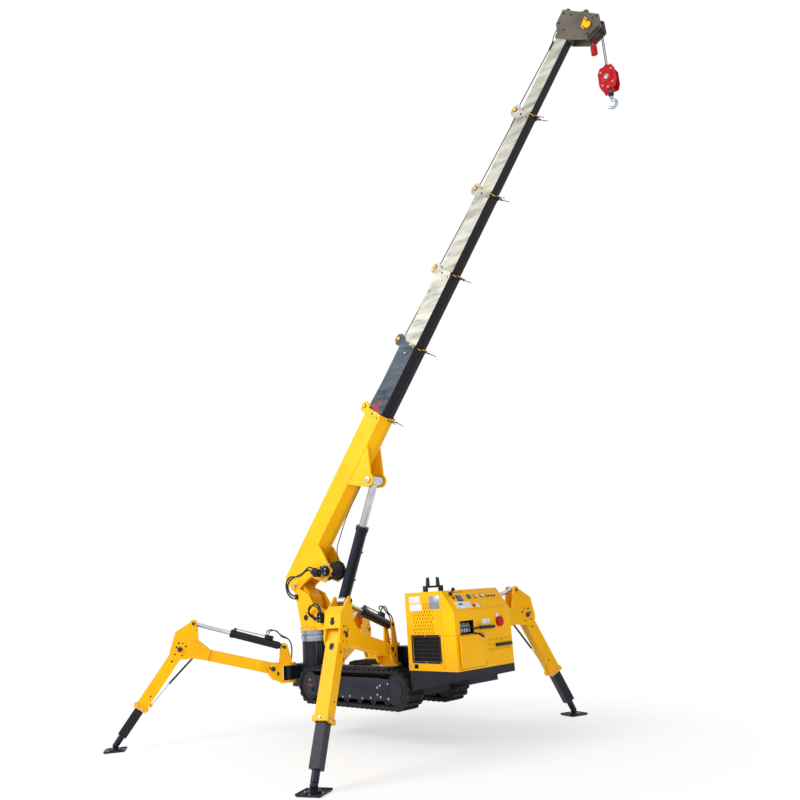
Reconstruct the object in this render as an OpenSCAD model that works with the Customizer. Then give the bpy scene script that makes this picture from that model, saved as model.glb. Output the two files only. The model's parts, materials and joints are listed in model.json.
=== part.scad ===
/* [Stance] */
// Height of the crawler shoes above the ground while the outriggers carry the machine
track_lift = 354; // [300:1:420]
// Direction the boom points, from straight ahead over the turret end
slew_angle = 189.6; // [180:0.1:200]
// Angle of the boom above the horizontal
luff_angle = 52.3; // [45:0.1:60]

/* [Crawler] */
// Distance of the slew axis ahead of the origin
slew_x = 1550; // [1500:1:1600]
// Overall length of one crawler track, without its lugs
track_length = 1747; // [1600:1:1900]
// Distance of the rear end of the tracks behind the origin
track_rear = 411; // [350:1:450]
// Height of a track, without its lugs
track_height = 352; // [320:1:380]
// Width of one rubber track
track_width = 207; // [180:1:230]
// Overall width over both tracks
track_span = 856; // [800:1:900]
// Thickness of the rubber band
track_band = 26; // [18:1:32]
// Height of a lug
lug_height = 14; // [8:1:18]
// Number of lugs round one track
lug_count = 52; // [40:1:60]

/* [Engine cover] */
// Length of the cover
cover_length = 637; // [600:1:680]
// Width of the cover
cover_width = 800; // [760:1:840]
// Height of the cover's floor edge above the ground
cover_z = 733; // [700:1:760]
// Height of the cover's top above the ground
cover_top = 1447; // [1400:1:1500]
// Distance of the cover's front face behind the origin
cover_front = 417; // [400:1:450]
// Thickness of the sheet steel
sheet = 5; // [4:0.5:6]

/* [Boom] */
// Height at which the boom's centre line crosses the slew axis
boom_cross_z = 1973; // [1900:1:2050]
// Outer width of the base section
base_width = 250; // [230:1:260]
// Outer height of the base section
base_height = 300; // [280:1:310]
// How much each next section is narrower and lower
nest_step = 26; // [25:1:27]
// Wall of a boom section
boom_wall = 6; // [5:0.5:6]
// Distance along the boom that one section slides in
tele_stroke = 700; // [600:10:700]
// Length of a section that stays inside the next larger one
tele_overlap = 600; // [560:10:620]

/* [Outriggers] */
// Distance from the swivel axis to the arm's pivot
arm_root = 185; // [180:1:190]
// Length of an arm between its pivot and the knee
arm_length = 1070; // [1050:1:1090]
// Length of the outer part of the lower leg, from the knee
outer_length = 730; // [700:1:760]
// Height of the ball above the ground
ball_z = 60; // [55:1:65]
// Side of the square foot plate
foot_size = 226; // [200:1:240]

/* [Hidden] */
$fn = 48;

// Finish colours
yellow = [1.0, 0.76, 0.06];
navy = [0.13, 0.14, 0.19];
black = [0.06, 0.06, 0.07];
steel = [0.75, 0.77, 0.80];
red = [0.80, 0.10, 0.10];
head_grey = [0.25, 0.23, 0.21];
blue_grey = [0.42, 0.46, 0.52];

// Radial running clearance of a pin in its bore
fit = 0.05;

// Legs: swivel axis x, y, arm pivot z, azimuth, lift of the arm, reach of the foot
LEGS = [[1707, 307, 706, 60.1, 15.9, 1873],
        [-36, 260, 922, 115.3, 11.6, 1737],
        [-36, -260, 922, -107.6, 11.2, 1785],
        [1707, -307, 706, -60.1, 15.9, 1873]];
FL = 0;
RL = 1;
RR = 2;
FR = 3;

// Knee position and lower leg of leg k in its own upright plane
function knee_r(k) = arm_root + arm_length * cos(LEGS[k][4]);
function knee_z(k) = LEGS[k][2] + arm_length * sin(LEGS[k][4]);
function leg_dr(k) = LEGS[k][5] - knee_r(k);
function leg_dz(k) = knee_z(k) - ball_z;
function leg_drop(k) = atan2(leg_dz(k), leg_dr(k));
function leg_reach(k) = norm([leg_dr(k), leg_dz(k)]);

// Lift cylinder: lower pin from the swivel axis and arm pivot, rod pin on the arm
lift_pin_r = 50;
lift_pin_z = 227;
ear_x = arm_length - 65;
ear_z = 296;
function ear_r(k) = arm_root + ear_x * cos(LEGS[k][4]) - ear_z * sin(LEGS[k][4]);
function ear_h(k) = ear_x * sin(LEGS[k][4]) + ear_z * cos(LEGS[k][4]);
function lift_span(k) = norm([ear_r(k) - lift_pin_r, ear_h(k) - lift_pin_z]);
function lift_tilt(k) = atan2(ear_h(k) - lift_pin_z, ear_r(k) - lift_pin_r);

// Boom heads: distance of each section's end from the slew axis along the boom
HEADS = [1931, 2823, 3743, 4716, 5656, 6549];
function section_w(k) = base_width - nest_step * k;
function section_h(k) = base_height - nest_step * k;

// Boom pivot, luff cylinder pins and winch, as r and z from the slew axis or u and v on the boom
pivot_u = -414;
pivot_v = -42;
pivot_r = pivot_u * cos(luff_angle) - pivot_v * sin(luff_angle);
pivot_z = boom_cross_z + pivot_u * sin(luff_angle) + pivot_v * cos(luff_angle);
luff_low_r = 350;
luff_low_z = 1220;
luff_top_u = 1218;
luff_top_v = -322;
luff_top_r = luff_top_u * cos(luff_angle) - luff_top_v * sin(luff_angle);
luff_top_z = boom_cross_z + luff_top_u * sin(luff_angle) + luff_top_v * cos(luff_angle);
luff_span = norm([luff_top_r - luff_low_r, luff_top_z - luff_low_z]);
luff_tilt = atan2(luff_top_z - luff_low_z, luff_top_r - luff_low_r);
luff_barrel_r = 65;
luff_rod_r = 45;
luff_barrel_l = 1100;
luff_rod_l = 1100;
winch_u = 9;
winch_v = -360;
winch_r = 112;
sheave_u = 6665;
sheave_v = -240;
sheave_r = 105;
sheave_cr = sheave_u * cos(luff_angle) - sheave_v * sin(luff_angle);
sheave_cz = boom_cross_z + sheave_u * sin(luff_angle) + sheave_v * cos(luff_angle);

// Slew ring
ring_r = 190;
ring_bottom = 980;
ring_top = 1100;

track_mid_y = (track_span - track_width) / 2;
track_end_r = track_height / 2;
track_mid_z = track_lift + lug_height + track_end_r;
track_front = track_length - track_rear;

// Frames of the moving assemblies
module turret_frame() {
    translate([slew_x, 0, 0]) rotate([0, 0, slew_angle]) children();
}
module boom_frame() {
    turret_frame() translate([0, 0, boom_cross_z]) rotate([0, -luff_angle, 0]) children();
}
module leg_frame(k) {
    translate([LEGS[k][0], LEGS[k][1], LEGS[k][2]]) rotate([0, 0, LEGS[k][3]]) children();
}
module arm_frame(k) {
    leg_frame(k) translate([arm_root, 0, 0]) rotate([0, -LEGS[k][4], 0]) children();
}
module lower_frame(k) {
    arm_frame(k) translate([arm_length, 0, 0]) rotate([0, LEGS[k][4] + leg_drop(k), 0]) children();
}
module lift_frame(k) {
    leg_frame(k) translate([lift_pin_r, 0, lift_pin_z]) rotate([0, -lift_tilt(k), 0]) children();
}

// Upright plate from an outline in x and z, between two distances y0 and y1
module plate(y0, y1) {
    translate([0, y1, 0]) rotate([90, 0, 0]) linear_extrude(height = y1 - y0) children();
}
// The same plate on both sides of the middle plane
module plates(y0, y1) {
    plate(y0, y1) children();
    plate(-y1, -y0) children();
}
// Round bar across the middle plane
module bar(x, z, r, half) {
    translate([x, 0, z]) rotate([90, 0, 0]) cylinder(r = r, h = 2 * half, center = true);
}
// Block given by its two opposite corners
module block(a, b) {
    translate(a) cube(b - a);
}

module track_outline(grow) {
    translate([track_end_r - track_rear, 0]) circle(r = track_end_r + grow);
    translate([track_front - track_end_r, 0]) circle(r = track_end_r + grow);
    translate([track_end_r - track_rear, -track_end_r - grow])
        square([track_length - 2 * track_end_r, 2 * (track_end_r + grow)]);
}
// Centre and direction of a lug at distance s along the band
run = track_length - 2 * track_end_r;
turn = PI * track_end_r;
function lug_at(s) =
    s < run ? [track_end_r - track_rear + s, -track_end_r, 0]
    : s < run + turn ? let (a = 180 * (s - run) / turn)
        [track_front - track_end_r + track_end_r * sin(a), -track_end_r * cos(a), a]
    : s < 2 * run + turn ? [track_front - track_end_r - (s - run - turn), track_end_r, 180]
    : let (a = 180 * (s - 2 * run - turn) / turn)
        [track_end_r - track_rear - track_end_r * sin(a), track_end_r * cos(a), 180 + a];
module track(side) {
    color(black) translate([0, side * track_mid_y, track_mid_z])
        plate(-track_width / 2, track_width / 2) difference() {
            union() {
                track_outline(0);
                for (i = [0 : lug_count - 1]) {
                    p = lug_at(i * 2 * (run + turn) / lug_count);
                    translate([p[0], p[1]]) rotate([0, 0, p[2]]) translate([-19, -lug_height])
                        square([38, lug_height + 6]);
                }
            }
            track_outline(-track_band);
        }
}

// Side frames inside the tracks, with sprocket, idler and rollers
seat = 0.3;
sprocket_r = track_end_r - track_band - seat;
roller_r = 46;
frame_inset = 12;
frame_half = 70;
module track_frames() {
    color(navy) for (side = [0, 1]) mirror([0, side, 0]) translate([0, track_mid_y, track_mid_z]) {
        plate(-frame_half, track_width / 2 - frame_inset)
            translate([track_end_r - track_rear + 85, -frame_half])
                square([track_length - 2 * track_end_r - 170, 2 * frame_half]);
        for (x = [track_end_r - track_rear, track_front - track_end_r])
            plate(-frame_half, track_width / 2 - frame_inset) translate([x, 0]) circle(r = sprocket_r);
        for (i = [0 : 5]) plate(-60, 60)
            translate([track_end_r - track_rear + 175 + i * 210, -track_end_r + track_band + seat + roller_r])
            circle(r = roller_r);
        plate(20, track_width / 2 - frame_inset + 8) translate([track_end_r - track_rear, 0]) circle(r = 88);
    }
}

// Engine cover's rear face and its sloping panel
cover_rear = cover_front + cover_length;
slope_x = cover_rear - 147;
slope_z = cover_top - 195;

// Central frame between the tracks, with the two cross tubes that carry the track frames
frame_wall = 14;
beam_half = 205;
beam_rear = 380;
beam_front = 1380;
beam_low = 480;
beam_high = 690;
cross_depth = 180;
module chassis() {
    color(navy) difference() {
        union() {
            block([-beam_rear, -beam_half, beam_low], [beam_front, beam_half, beam_high]);
            for (x = [60, 860]) block([x, -track_mid_y + frame_half, beam_low + 20],
                                      [x + cross_depth, track_mid_y - frame_half, beam_low + 120]);
        }
        block([-beam_rear + frame_wall, -beam_half + frame_wall, beam_low - 1],
              [beam_front - frame_wall, beam_half - frame_wall, beam_high - frame_wall]);
    }
}

// Front box with the round pedestal that carries the slew ring
pedestal_front = 1800;
pedestal_half = 190;
pedestal_top = 730;
pedestal_r = 178;
module pedestal() {
    color(navy) difference() {
        union() {
            block([beam_front, -pedestal_half, beam_low], [pedestal_front, pedestal_half, pedestal_top]);
            translate([slew_x, 0, pedestal_top]) cylinder(r = pedestal_r, h = ring_bottom - pedestal_top);
        }
        block([beam_front + frame_wall, -pedestal_half + frame_wall, beam_low - 1],
              [pedestal_front - frame_wall, pedestal_half - frame_wall, pedestal_top - frame_wall]);
        translate([slew_x, 0, pedestal_top - frame_wall - 1])
            cylinder(r = pedestal_r - 2 * frame_wall, h = ring_bottom - pedestal_top + frame_wall + 2);
    }
}

// Floor under the engine cover on a spine, with a skirt that deepens towards the tracks
skirt_rear = 75;
skirt_front = 190;
module cover_floor() {
    color(navy) {
        block([-cover_rear, -cover_width / 2, cover_z - 10], [-cover_front, cover_width / 2, cover_z]);
        block([-cover_rear + 55, -beam_half + 5, beam_high - 90], [-beam_rear, beam_half - 5, cover_z - 8]);
        plates(cover_width / 2 - 12, cover_width / 2) polygon([[-cover_rear, cover_z - 5],
            [-cover_front - 13, cover_z - 5], [-cover_front - 13, cover_z - skirt_front],
            [-cover_front - 90, cover_z - skirt_front + 20], [-cover_rear, cover_z - skirt_rear]]);
        block([-cover_rear, -cover_width / 2, cover_z - skirt_rear],
              [-cover_rear + 12, cover_width / 2, cover_z - 5]);
    }
}

// Bosses of the four swivel axes: on the pedestal at the front, on tall posts at the rear.
// The rear posts run back to two towers on the beam.
boss_r = 62;
boss_low = -131;
boss_high = 19;
swivel_pin_r = 28;
post_depth = 150;
post_out = 174;
tower_depth = 130;
tower_top = 1250;
module outrigger_posts() {
    color(navy) difference() {
        for (k = [FL, RL, RR, FR]) {
            p = LEGS[k];
            s = sign(p[1]);
            front = p[0] > 0;
            x0 = front ? p[0] - 67 : p[0] - 55;
            inner = front ? pedestal_half : 120;
            leg_frame(k) translate([0, 0, boss_low]) cylinder(r = boss_r, h = boss_high - boss_low);
            block([front ? x0 : -beam_rear + 5, min(s * inner, p[1] - s * 34), p[2] + boss_low + 5],
                  [x0 + post_depth, max(s * inner, p[1] - s * 34), p[2] + boss_high - 5]);
            if (!front) {
                block([x0, min(s * 95, s * post_out), beam_high],
                      [x0 + post_depth, max(s * 95, s * post_out), p[2] + boss_low + 40]);
                block([-beam_rear + 5, min(s * 75, s * 205), beam_high],
                      [-beam_rear + 5 + tower_depth, max(s * 75, s * 205), tower_top]);
            }
        }
        for (k = [FL, RL, RR, FR]) leg_frame(k) translate([0, 0, boss_low - 1])
            cylinder(r = swivel_pin_r + fit, h = boss_high - boss_low + 2);
    }
}

module slew_ring() {
    color(steel) translate([slew_x, 0, 0]) difference() {
        union() {
            translate([0, 0, ring_bottom]) cylinder(r = ring_r - 8, h = ring_top - ring_bottom);
            translate([0, 0, ring_bottom + 30]) cylinder(r = ring_r, h = 34);
            translate([0, 0, ring_top - 34]) cylinder(r = ring_r, h = 34);
        }
        translate([0, 0, ring_bottom + 30]) cylinder(r = 120 + fit, h = 200);
    }
}

// Engine cover: shell with a sloping rear panel, louvres and a radiator opening
module cover_outline(t) {
    polygon([[-cover_rear + t, cover_z - (t > 0 ? 10 : 0)], [-cover_front - t, cover_z - (t > 0 ? 10 : 0)],
             [-cover_front - t, cover_top - t], [-slope_x + t * 0.3, cover_top - t],
             [-cover_rear + t, slope_z - t * 0.3]]);
}
// Vents in the sides: size, pitches and first corner
vent_w = 10;
vent_h = 22;
vent_pitch = 34;
vent_row = 32;
vent_x = -781;
vent_z = 1064;
// Slots in the rear face: size, pitches and first corner
slot_w = 9;
slot_h = 24;
slot_pitch = 38;
slot_row = 44;
slot_y = -362;
slot_z = 872;
// Openings of the radiator in the sides
grille_x0 = -845;
grille_x1 = -489;
grille_z0 = 817;
grille_z1 = 1038;
module engine_cover() {
    color(yellow) difference() {
        union() {
            difference() {
                plate(-cover_width / 2, cover_width / 2) cover_outline(0);
                plate(-cover_width / 2 + sheet, cover_width / 2 - sheet) cover_outline(sheet);
            }
            plate(26, 361) polygon([[-cover_rear + 1, 1041], [-cover_rear - 26, 1036],
                                    [-cover_rear - 26, 810], [-cover_rear + 1, 752]]);
        }
        for (j = [0 : 8]) for (i = [0 : 7])
            block([vent_x + i * vent_pitch + (j % 2) * vent_pitch / 2, -cover_width, vent_z + j * vent_row],
                  [vent_x + i * vent_pitch + (j % 2) * vent_pitch / 2 + vent_w, cover_width,
                   vent_z + j * vent_row + vent_h]);
        block([grille_x0, -cover_width, grille_z0], [grille_x1, cover_width, grille_z1]);
        block([-545, -cover_width, 752], [-490, cover_width, 790]);
        for (j = [0 : 2]) for (i = [0 : 8])
            block([-cover_rear - 5, slot_y + i * slot_pitch, slot_z + j * slot_row],
                  [-cover_rear + sheet + 1, slot_y + i * slot_pitch + slot_w, slot_z + j * slot_row + slot_h]);
        block([-cover_rear - 5, 142, 1046], [-cover_rear + sheet + 1, 333, 1168]);
    }
}
// Radiator grilles in the side openings
module radiator_grille() {
    color(black) for (s = [-1, 1]) translate([0, s * (cover_width / 2 - sheet - 3), 0]) difference() {
        block([grille_x0 - 8, -3, grille_z0 - 8], [grille_x1 + 8, 3, grille_z1 + 8]);
        for (i = [0 : 10]) for (j = [0 : 5])
            block([grille_x0 + 18 + i * 30, -4, grille_z0 + 6 + j * 36],
                  [grille_x0 + 38 + i * 30, 4, grille_z0 + 32 + j * 36]);
    }
}
// Instrument panel lying on the sloping face
module control_panel() {
    color(steel) translate([-slope_x, 0, cover_top]) rotate([0, -atan2(195, 147), 0])
        block([-222, -330, 0], [-22, 330, 8]);
}
// Two-pronged rest for the folded boom on the cover's front edge
rest_x = -440;
rest_y = 20;
rest_half = 125;
prong_in = 58;
module boom_rest() {
    color(black) translate([rest_x, rest_y, cover_top]) {
        for (s = [-1, 1]) block([-22, s * (rest_half - 15) - 15, 0], [22, s * (rest_half - 15) + 15, 40]);
        block([-22, -rest_half, 38], [22, rest_half, 58]);
        rotate([0, 0, 90]) for (s = [-1, 1]) plate(-14, 14)
            polygon([[s * prong_in, 57], [s * (prong_in + 30), 57], [s * (prong_in + 24), 128],
                     [s * (prong_in + 8), 142], [s * (prong_in + 2), 128]]);
    }
}
module engine_block() {
    color(head_grey) block([-930, -260, cover_z], [-520, 260, 1180]);
}

// Turret with cheeks, neck for the boom pivot and ears for the luff cylinder
pivot_pin_r = 30;
luff_pin_r = 28;
module turret() {
    color(yellow) turret_frame() {
        difference() {
            union() {
                translate([0, 0, ring_top + 1]) cylinder(r = 205, h = 24);
                translate([0, 0, ring_top - 60]) cylinder(r = 120, h = 62);
                block([0, -150, ring_top + 1], [420, 150, ring_top + 25]);
                plates(130, 150) polygon([[-110, 1120], [-200, 1540], [-150, 1585], [10, 1520], [90, 1400],
                                          [250, 1330], [330, 1300], [330, 1120]]);
                plates(72, 94) {
                    polygon([[200, 1120], [200, 1240], [300, 1270], [luff_low_r, luff_low_z], [410, 1120]]);
                    translate([luff_low_r, luff_low_z]) circle(r = 62);
                }
                plate(-84, 84) {
                    polygon([[-110, 1120], [-pivot_pin_r - 262, 1600], [-160, 1665], [20, 1480], [60, 1120]]);
                    translate([pivot_r, pivot_z]) circle(r = 74);
                }
                block([-100, -132, 1380], [0, 132, 1400]);
                bar(pivot_r, pivot_z, pivot_pin_r, 128);
                bar(luff_low_r, luff_low_z, luff_pin_r, 94);
            }
            translate([0, 0, 900]) cylinder(r = 60, h = 240);
        }
    }
}
module slew_motor() {
    color(black) turret_frame() translate([230, -150, 1230]) rotate([90, 0, 0]) {
        cylinder(r = 44, h = 70);
        cylinder(r = 56, h = 16);
    }
}

// Outline of a boom section: flat top, upright sides and a keel below
function keel(w, h) = [[-w / 2, h / 2], [-w / 2, -h / 2 + w * 0.28], [-w * 0.15, -h / 2],
                       [w * 0.15, -h / 2], [w / 2, -h / 2 + w * 0.28], [w / 2, h / 2]];
// Hollow section k from x0 to x1
module tube(k, x0, x1) {
    w = section_w(k);
    h = section_h(k);
    translate([x0, 0, 0]) rotate([90, 0, 90]) linear_extrude(height = x1 - x0) difference() {
        polygon(keel(w, h));
        polygon(keel(w - 2 * boom_wall, h - 2 * boom_wall));
    }
}
// Collar round the end of section k, with the wear pads that guide the next section
pad_gap = 0.5;
ring_l = 26;
module collar(k, x0, x1, grow) {
    w = section_w(k);
    h = section_h(k);
    half = w / 2 - boom_wall;
    room = nest_step / 2 - boom_wall - pad_gap;
    for (s = [-1, 1]) {
        translate([x0, min(s * half, s * (half - room)), -10]) cube([x1 - x0, room, h / 2 - 40]);
        translate([x0, s * w * 0.3 - 20, h / 2 - boom_wall - room]) cube([x1 - x0, 40, room + 1]);
    }
    translate([x0, -w * 0.1, -h / 2 + boom_wall - 1]) cube([x1 - x0, w * 0.2, room + 1]);
    translate([x1 - ring_l, 0, 0]) rotate([90, 0, 90]) linear_extrude(height = ring_l) difference() {
        polygon(keel(w + 2 * grow, h + 2 * grow));
        polygon(keel(w - 2 * boom_wall, h - 2 * boom_wall));
    }
}
// Side plates at the end of section k, which carry the pulley above it
module top_pulley(k, x) {
    w = section_w(k) / 2;
    z = section_h(k) / 2;
    plates(w - 1, w + 8) polygon([[x - 88, z - 60], [x - 92, z + 52], [x - 66, z + 86], [x - 10, z + 96],
                                  [x + 34, z + 78], [x + 52, z + 40], [x + 52, z + 16], [x, z - 30],
                                  [x, -z + 0.3 * 2 * w], [x - 30, -z + 0.3 * 2 * w]]);
    bar(x - 14, z + 52, 13, w + 12);
    bar(x - 14, z + 52, 34, 12);
}
base_tail = -240;
lug_root = -90;
module boom_base() {
    color(yellow) boom_frame() difference() {
        union() {
            tube(0, base_tail, HEADS[0]);
            collar(0, HEADS[0] - 70, HEADS[0], 16);
            top_pulley(0, HEADS[0]);
            plates(101, 125) polygon([[base_tail, 148], [-440, 148], [-492, -20], [-470, -95], [-414, -122],
                                      [-330, -140], [-180, -200], [-110, -420], [60, -440], [110, -300],
                                      [180, -130], [180, -60], [base_tail, 0]]);
            plates(101, 125) {
                polygon([[1020, lug_root], [1130, -330], [1300, -310], [1500, -130], [1540, lug_root]]);
                translate([luff_top_u, luff_top_v]) circle(r = 74);
            }
            plates(98, 124) translate([luff_top_u, luff_top_v]) circle(r = 40);
            plates(125, 140) translate([luff_top_u, luff_top_v]) circle(r = 30);
            plate(-101, 101) polygon([[-110, -225], [-80, -225], [-80, -120], [-110, -120]]);
        }
        translate([pivot_u, 0, pivot_v]) rotate([90, 0, 0])
            cylinder(r = pivot_pin_r + fit, h = 400, center = true);
    }
}
module winch_drum() {
    color(black) boom_frame() {
        bar(winch_u, winch_v, winch_r - 22, 96);
        plates(84, 101) translate([winch_u, winch_v]) circle(r = winch_r);
    }
}
module winch_motor() {
    color(black) boom_frame() {
        translate([winch_u, -125, winch_v]) rotate([90, 0, 0]) cylinder(r = 62, h = 60);
        translate([winch_u - 70, -125, winch_v + 62]) rotate([90, 0, 0]) cylinder(r = 46, h = 92);
    }
}

// Luff cylinder along its own line from the lower pin
module luff_frame() {
    turret_frame() translate([luff_low_r, 0, luff_low_z]) rotate([0, -luff_tilt, 0]) children();
}
module luff_barrel() {
    color(navy) luff_frame() difference() {
        union() {
            bar(0, 0, 58, 66);
            rotate([0, 90, 0]) translate([0, 0, 20]) cylinder(r = luff_barrel_r, h = luff_barrel_l - 20);
            translate([luff_barrel_l - 45, 0, 0]) rotate([0, 90, 0]) cylinder(r = 75, h = 45);
        }
        bar(0, 0, luff_pin_r + fit, 80);
        translate([80, 0, 0]) rotate([0, 90, 0]) cylinder(r = luff_rod_r + fit, h = luff_barrel_l);
    }
}
module luff_rod() {
    color(steel) luff_frame() {
        translate([luff_span - luff_rod_l, 0, 0]) rotate([0, 90, 0]) cylinder(r = luff_rod_r, h = luff_rod_l);
        bar(luff_span, 0, 56, 80);
    }
}

// Telescopic section k: tube, collar and the pulley at its end
module boom_section(k) {
    boom_frame() {
        tube(k, HEADS[k - 1] - tele_overlap, HEADS[k]);
        collar(k, HEADS[k] - 60, HEADS[k], 12);
        top_pulley(k, HEADS[k]);
    }
}
module boom_2() {
    color(blue_grey) boom_section(1);
}
module boom_3() {
    color(steel) boom_section(2);
}
module boom_4() {
    color(steel) boom_section(3);
}
module boom_5() {
    color(steel) boom_section(4);
}
module boom_6() {
    color(steel) boom_frame() tube(5, HEADS[4] - tele_overlap, HEADS[5]);
}
// Head: two plates with a socket for the last section, and two ring lugs on top
plate_in = 64;
lug_out = 34;
plate_out = 74;
module boom_head() {
    w = section_w(5);
    h = section_h(5);
    x = HEADS[5];
    color(head_grey) boom_frame() {
        difference() {
            union() {
                translate([x - 60, 0, 0]) rotate([90, 0, 90]) linear_extrude(height = 60) difference() {
                    polygon(keel(w + 28, h + 28));
                    polygon(keel(w, h));
                }
                plates(plate_in, plate_out) polygon([[x - 60, 60], [x + 80, 165], [x + 240, 165],
                    [x + 250, -300], [x + 130, -400], [x - 20, -330], [x - 60, -90]]);
                block([x, -plate_in, 90], [x + 240, plate_in, 100]);
                block([x + 230, -plate_in, -180], [x + 240, plate_in, 100]);
            }
            bar(sheave_u, sheave_v, 20 + fit, 90);
        }
        for (p = [[x + 225, 150], [x + 243, -80]]) translate([p[0] + lug_out, 0, p[1]]) rotate([90, 0, 0])
            difference() {
                cylinder(r = 34, h = 20, center = true);
                cylinder(r = 15, h = 22, center = true);
            }
        block([x + 200, -plate_in, 128], [x + 242, plate_in, 140]);
        block([x + 238, -plate_in, -90], [x + 258, plate_in, -70]);
    }
}
module head_sheaves() {
    color(head_grey) boom_frame() {
        bar(sheave_u, sheave_v, 20, 86);
        for (y = [-25, 25]) translate([sheave_u, y, sheave_v]) rotate([90, 0, 0]) rotate_extrude() difference() {
            translate([19, -15]) square([sheave_r - 15, 30]);
            translate([sheave_r, 0]) circle(r = 4.8);
            polygon([[sheave_r, -4.8], [sheave_r + 10, -10], [sheave_r + 10, 10], [sheave_r, 4.8]]);
        }
    }
}

// Hook tackle, hanging upright below the sheaves
fall_r = sheave_cr + sheave_r;
block_top = 6554;
block_low = 6262;
module rope_falls() {
    color(black) turret_frame() for (y = [-25, 25])
        translate([fall_r, y, block_top]) cylinder(r = 4.5, h = sheave_cz - block_top);
}
module limit_weight() {
    color(red) turret_frame() {
        translate([sheave_cr, 0, 6790]) cylinder(r = 34, h = 90);
        translate([sheave_cr, 0, 6870]) cylinder(r = 5, h = sheave_cz - 6870 - 20 - pad_gap);
    }
}
module hook_block() {
    color(red) turret_frame() translate([fall_r, 0, 0]) {
        plates(44, 54) polygon([[-70, block_low + 30], [-90, block_low + 90], [-90, block_top - 60],
            [-60, block_top], [60, block_top], [90, block_top - 60], [90, block_low + 90], [70, block_low + 30]]);
        bar(0, 6430, 14, 62);
        bar(0, 6430, 78, 18);
        block([-40, -46, block_low + 30], [40, 46, block_low + 62]);
        block([-60, -46, block_top - 12], [60, 46, block_top]);
    }
}
module hook() {
    color(steel) turret_frame() translate([fall_r, 0, 0]) {
        translate([0, 0, 6190]) cylinder(r = 15, h = block_low + 30 - 6190);
        translate([0, 0, 6135]) rotate([90, 0, 0]) rotate([0, 0, -150]) rotate_extrude(angle = 250)
            translate([42, 0]) circle(r = 15);
    }
}

// Outrigger parts of leg k
cheek_in = 71;
cheek_out = 85;
arm_half = 65;
arm_h = 116;
module knuckle(k) {
    color(yellow) leg_frame(k) {
        translate([0, 0, boss_low - 30]) cylinder(r = swivel_pin_r, h = boss_high - boss_low + 60);
        for (z = [[boss_low - 31, boss_low - 5], [boss_high + 5, boss_high + 31]]) {
            translate([0, 0, z[0]]) cylinder(r = 78, h = z[1] - z[0]);
            block([0, -cheek_out, z[0]], [100, cheek_out, z[1]]);
        }
        block([72, -cheek_out, boss_low - 31], [100, cheek_out, boss_high + 31]);
        plates(cheek_in, cheek_out) {
            polygon([[72, boss_low - 31], [72, 50], [200, 62], [245, 20], [245, -50], [200, -110]]);
        }
        bar(arm_root, 0, 26, cheek_out);
        plates(32, 46) {
            polygon([[-40, 48], [lift_pin_r - 42, lift_pin_z], [lift_pin_r + 42, lift_pin_z], [110, 48]]);
            translate([lift_pin_r, lift_pin_z]) circle(r = 42);
        }
        bar(lift_pin_r, lift_pin_z, 18, 46);
    }
}
bracket_in = 65;
bracket_out = 77;
knee_pin_r = 28;
module arm(k) {
    color(yellow) arm_frame(k) difference() {
        union() {
            plate(-arm_half, arm_half) {
                translate([0, -arm_h / 2]) square([arm_length - 110, arm_h]);
                circle(r = arm_h / 2);
            }
            plates(bracket_in, bracket_out) {
                translate([arm_length, 0]) polygon([[-330, 56], [-330, -57], [-170, -64], [-70, -96], [80, -70],
                    [102, 0], [102, 170], [-23, 300], [-107, 296], [-170, 130]]);
                translate([ear_x, ear_z]) circle(r = 42);
                translate([arm_length + 5, -18]) circle(r = 98);
            }
            plate(-bracket_in, bracket_in) translate([arm_length, 0])
                polygon([[90, 40], [102, 40], [102, 170], [38, 236], [28, 228], [90, 166]]);
            plates(bracket_out, bracket_out + 14) translate([ear_x, ear_z]) circle(r = 26);
            bar(arm_length, 0, knee_pin_r, 90);
        }
        bar(0, 0, 26 + fit, 90);
        block([90, -arm_half + 8, -arm_h / 2 + 8], [arm_length - 130, arm_half - 8, arm_h / 2 - 8]);
    }
}
leg_half = 59;
leg_h = 130;
inner_half = 45;
inner_h = 100;
module outer_leg(k) {
    color(yellow) lower_frame(k) difference() {
        union() {
            plate(-leg_half, leg_half) {
                circle(r = 62);
                translate([0, -62]) square([90, 124]);
            }
            block([60, -leg_half, -leg_h / 2], [outer_length, leg_half, leg_h / 2]);
            block([outer_length - 42, -leg_half - 12, -leg_h / 2 - 13],
                  [outer_length, leg_half + 12, leg_h / 2 + 13]);
        }
        bar(0, 0, knee_pin_r + fit, 90);
        difference() {
            block([90, -inner_half - 7, -inner_h / 2 - 7], [outer_length + 1, inner_half + 7, inner_h / 2 + 7]);
            for (s = [-1, 1]) {
                block([outer_length - 60, min(s * (inner_half + pad_gap), s * (inner_half + 8)), -25],
                      [outer_length + 2, max(s * (inner_half + pad_gap), s * (inner_half + 8)), 25]);
                block([outer_length - 60, -25, min(s * (inner_h / 2 + pad_gap), s * (inner_h / 2 + 8))],
                      [outer_length + 2, 25, max(s * (inner_h / 2 + pad_gap), s * (inner_h / 2 + 8))]);
            }
        }
    }
}
module inner_leg(k) {
    color(navy) lower_frame(k) difference() {
        union() {
            block([430, -inner_half, -inner_h / 2], [leg_reach(k) - 110, inner_half, inner_h / 2]);
            translate([leg_reach(k) - 111, 0, 0]) rotate([0, 90, 0]) cylinder(r = 34, h = 91);
        }
        block([420, -inner_half + 7, -inner_h / 2 + 7],
              [leg_reach(k) - 125, inner_half - 7, inner_h / 2 - 7]);
        translate([leg_reach(k), 0, 0]) sphere(r = 34);
    }
}
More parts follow.
